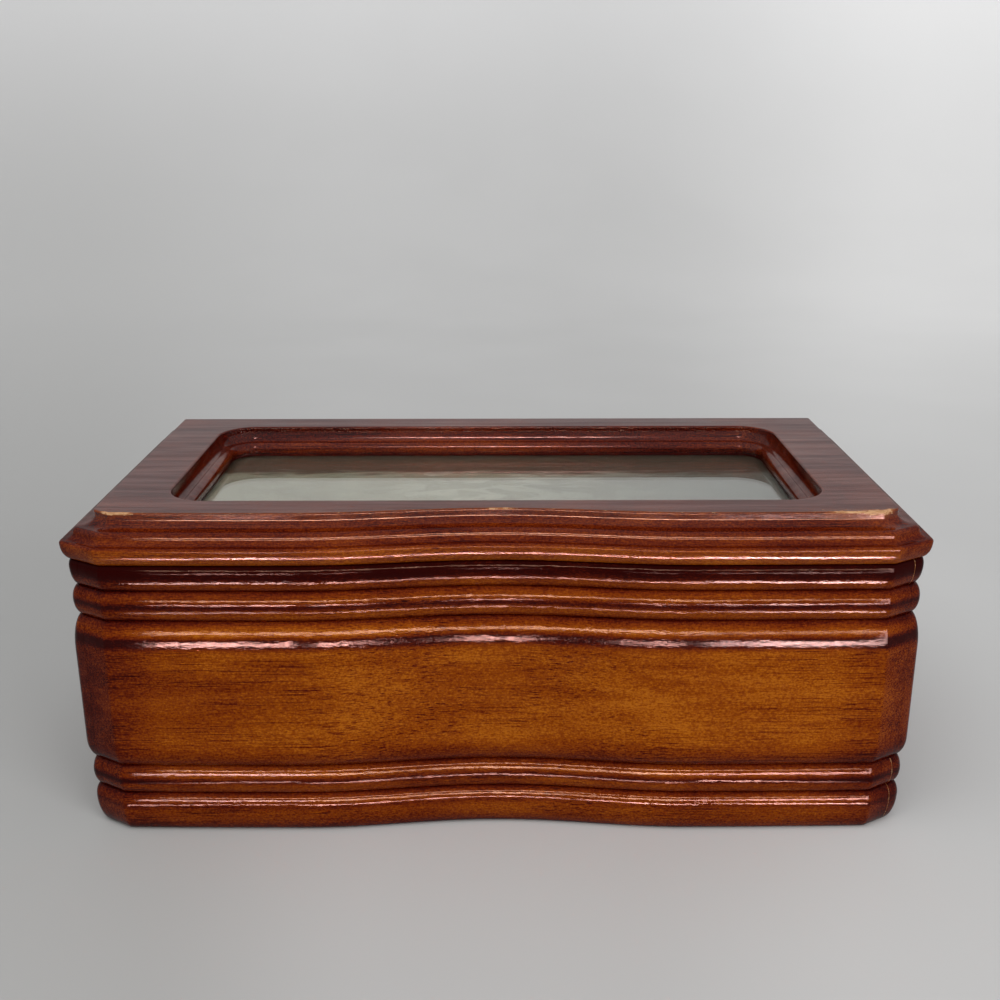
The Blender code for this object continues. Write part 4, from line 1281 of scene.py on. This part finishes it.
def build_screws():
    tree = screw_tree()
    case_nodes = [f"case_hinge_screw_{i}" for i in range(1, 5)]
    lid_nodes = [f"lid_hinge_screw_{i}" for i in range(1, 5)]
    backing_nodes = [f"backing_screw_{i}" for i in range(1, 7)]
    screw_piece("case_leaf_screws", case_nodes, False, "case", HINGE_SCREW, 3, tree)
    screw_piece("lid_leaf_screws", lid_nodes, True, "lid", HINGE_SCREW, 5, tree)
    screw_piece("lid_backing_screws", backing_nodes, True, "lid", BACKING_SCREW, 8, tree)


def dress_hinges():
    for side in ("left", "right"):
        dress(side + "_hinge_case_leaf", BRASS)
        dress(side + "_hinge_lid_leaf", BRASS)
        dress(side + "_hinge_pin", STEEL)


# Studio

CAMERA_PLACE = (0.0012, FRONT_FACE - 0.3383, LID_TOP + 0.11721)
CAMERA_PITCH = 0.31531
CAMERA_ROLL = -0.00205
CAMERA_LENS = 42.70
CAMERA_SENSOR = 36
CAMERA_NEAREST = 0.01

STAGE_REACH = 12.0
STAGE_BEND = 0.9
STAGE_BEND_STEPS = 24
STAGE_TOP = 3.5
VIEW_SETBACK = 0.42
VIEW_NEAREST = 0.1

WORLD_GREY = colour(0.56, 0.56, 0.565)
WORLD_STRENGTH = 0.85
WARM = (1.0, 0.54, 0.36)
ROSE = (1.0, 0.49, 0.42)
PALE = (1.0, 0.57, 0.52)

# Lamps seen only as shine: name, place, width and height, lift and turn of the beam, its spread, radiance, tint
GLINTS = (
    ("high_left", (-0.155, -0.350, 0.104), (0.092, 0.024), 0, -14, 180, 70.0, WARM),
    ("high_middle", (0.000, -0.350, 0.104), (0.220, 0.024), 0, 0, 180, 70.0, WARM),
    ("high_right", (0.170, -0.350, 0.104), (0.120, 0.024), 0, 16, 180, 50.0, WARM),
    ("middle_left", (-0.155, -0.350, 0.011), (0.092, 0.010), 10, -14, 16, 564.2, ROSE),
    ("middle_middle", (0.000, -0.350, 0.011), (0.218, 0.010), 10, 0, 16, 356.5, ROSE),
    ("middle_right", (0.170, -0.350, 0.011), (0.122, 0.015), 10, 16, 16, 338.5, PALE),
    ("low_left", (-0.120, -0.152, 0.004), (0.070, 0.008), 52, -12, 32, 368.0, PALE),
    ("low_middle", (0.000, -0.152, 0.004), (0.170, 0.006), 52, 0, 32, 320.0, ROSE),
    ("low_right", (0.124, -0.152, 0.004), (0.078, 0.010), 52, 16, 32, 512.0, PALE),
    ("foot_left", (-0.110, -0.166, 0.014), (0.080, 0.014), 2, -12, 34, 120.0, PALE),
    ("foot_middle", (0.000, -0.166, 0.014), (0.150, 0.012), 2, 0, 34, 128.0, WARM),
    ("foot_right", (0.120, -0.166, 0.014), (0.100, 0.014), 2, 14, 34, 144.0, ROSE),
    ("floor_left", (-0.100, -0.091, 0.001), (0.060, 0.002), 25, -12, 32, 144.0, ROSE),
    ("floor_middle", (0.000, -0.090, 0.001), (0.140, 0.002), 25, 0, 32, 256.0, ROSE),
    ("floor_right", (0.105, -0.091, 0.001), (0.070, 0.002), 25, 14, 32, 288.0, ROSE),
    ("window_rear", (0.000, -0.300, 0.400), (0.200, 0.020), -41.5, 0, 14, 150.0, ROSE),
    ("corner_right", (0.280, -0.350, 0.060), (0.100, 0.120), 0, 30, 180, 44.0, PALE),
)


def build_camera():
    data = bpy.data.cameras.new("camera")
    data.lens = CAMERA_LENS
    data.sensor_width = CAMERA_SENSOR
    data.clip_start = CAMERA_NEAREST
    camera = linked("camera", data)
    tilt = Matrix.Rotation(math.pi / 2 - CAMERA_PITCH, 4, "X")
    camera.matrix_world = Matrix.Translation(CAMERA_PLACE) @ tilt @ Matrix.Rotation(CAMERA_ROLL, 4, "Z")
    bpy.context.scene.camera = camera


def backdrop_finish():
    """Pale paper, lighter higher up, with painted light: greyer to the left, and to the camera it glows
    brighter away from the object and towards the right.
    """
    finish = Finish("backdrop")
    paper = finish.grain((0.2, 0.2, 0.2))
    across, behind, height = finish.node("ShaderNodeSeparateXYZ", {0: finish.place}).outputs
    depth = finish.maths("MAXIMUM", finish.maths("ADD", behind, VIEW_SETBACK), VIEW_NEAREST)
    aside = finish.maths("DIVIDE", across, depth)
    grey = finish.mixed(finish.between(paper, 0.3, 0.7),
                        colour(0.465, 0.465, 0.46), colour(0.485, 0.485, 0.48))
    # Painted shade: greyer to the left.
    grey = finish.mixed(finish.between(aside, -0.36, -0.10, 1.0, 0.0), grey, colour(0.405, 0.405, 0.398))
    grey = finish.mixed(finish.between(height, 0.0, 0.8), grey, colour(0.92, 0.92, 0.925))
    # Painted light: for the camera only, the backdrop glows brighter to the right and away from the object.
    rear = finish.maths("MULTIPLY", finish.between(behind, 0.0, 1.1, 0.0, 0.16),
                        finish.between(aside, 0.05, 0.36, 1.0, 1.8))
    rear = finish.maths("ADD", rear, finish.between(aside, 0.12, 0.36, 0.0, 0.055))
    distance = finish.node("ShaderNodeVectorMath", {0: finish.place}, operation="LENGTH").outputs["Value"]
    lift = finish.maths("MAXIMUM", rear, finish.between(distance, 2.2, 9.0, 0.0, 0.24))
    seen = finish.node("ShaderNodeLightPath").outputs["Is Camera Ray"]
    finish.set(Base_Color=grey, Roughness=0.9, Specular_IOR_Level=0.0, Emission_Color=colour(1.0, 1.0, 1.0),
               Emission_Strength=finish.maths("MULTIPLY", lift, seen))
    return finish.material


def build_stage():
    """A pale floor that curves up into the backdrop."""
    profile = [(-STAGE_REACH, 0.0), (STAGE_BEND, 0.0)]
    for i in range(1, STAGE_BEND_STEPS + 1):
        angle = math.pi / 2 * i / STAGE_BEND_STEPS
        profile.append((STAGE_BEND * (1 + math.sin(angle)), STAGE_BEND * (1 - math.cos(angle))))
    profile.append((2 * STAGE_BEND, STAGE_TOP))
    shape = bmesh.new()
    left = [shape.verts.new((-STAGE_REACH, y, z)) for y, z in profile]
    right = [shape.verts.new((STAGE_REACH, y, z)) for y, z in profile]
    for i in range(len(profile) - 1):
        shape.faces.new((left[i], right[i], right[i + 1], left[i + 1]))
    mesh = mesh_of("backdrop", shape)
    smooth(mesh)
    mesh.materials.append(backdrop_finish())
    backdrop = linked("backdrop", mesh)


def soft_lamp(name, place, aim, size, power):
    """A wide lamp that the camera doesn't see."""
    data = bpy.data.lights.new(name, "AREA")
    data.shape = "RECTANGLE"
    data.size, data.size_y = size
    data.energy = power
    lamp = linked(name, data)
    lamp.location = place
    lamp.rotation_euler = (Vector(aim) - Vector(place)).to_track_quat("-Z", "Y").to_euler()
    lamp.visible_camera = False
    return lamp


def glint(name, place, size, lift, turn, spread, radiance, tint):
    """A lamp that only shows as shine. Its beam is lifted from level and turned towards the middle."""
    lift, turn = math.radians(lift), math.radians(turn)
    beam = Vector((-math.sin(turn) * math.cos(lift), math.cos(turn) * math.cos(lift), math.sin(lift)))
    power = radiance * math.pi * size[0] * size[1]
    if spread < 180:
        half = math.radians(spread / 2)
        power *= (math.tan(half) - half) / math.tan(half)
    lamp = soft_lamp(name, place, Vector(place) + beam, size, power)
    lamp.data.spread = math.radians(spread)
    lamp.data.color = tint
    lamp.visible_diffuse = False


def build_light():
    world = bpy.data.worlds.new("studio")
    bpy.context.scene.world = world
    world.use_nodes = True
    background = world.node_tree.nodes["Background"]
    background.inputs["Color"].default_value = WORLD_GREY
    background.inputs["Strength"].default_value = WORLD_STRENGTH
    soft_lamp("overhead", (-0.3, -0.7, 1.5), (0, 0, 0), (1.6, 1.2), 15.0).visible_glossy = False
    soft_lamp("right_window", (1.1, -1.3, 0.7), (0, 0, 0.05), (0.9, 0.7), 12.0).visible_glossy = False
    for lamp in GLINTS:
        glint(*lamp)


build_case()
build_lid()
build_linings()
build_screws()
dress_hinges()
build_camera()
build_stage()
build_light()
bpy.context.scene.view_settings.view_transform = "Standard"
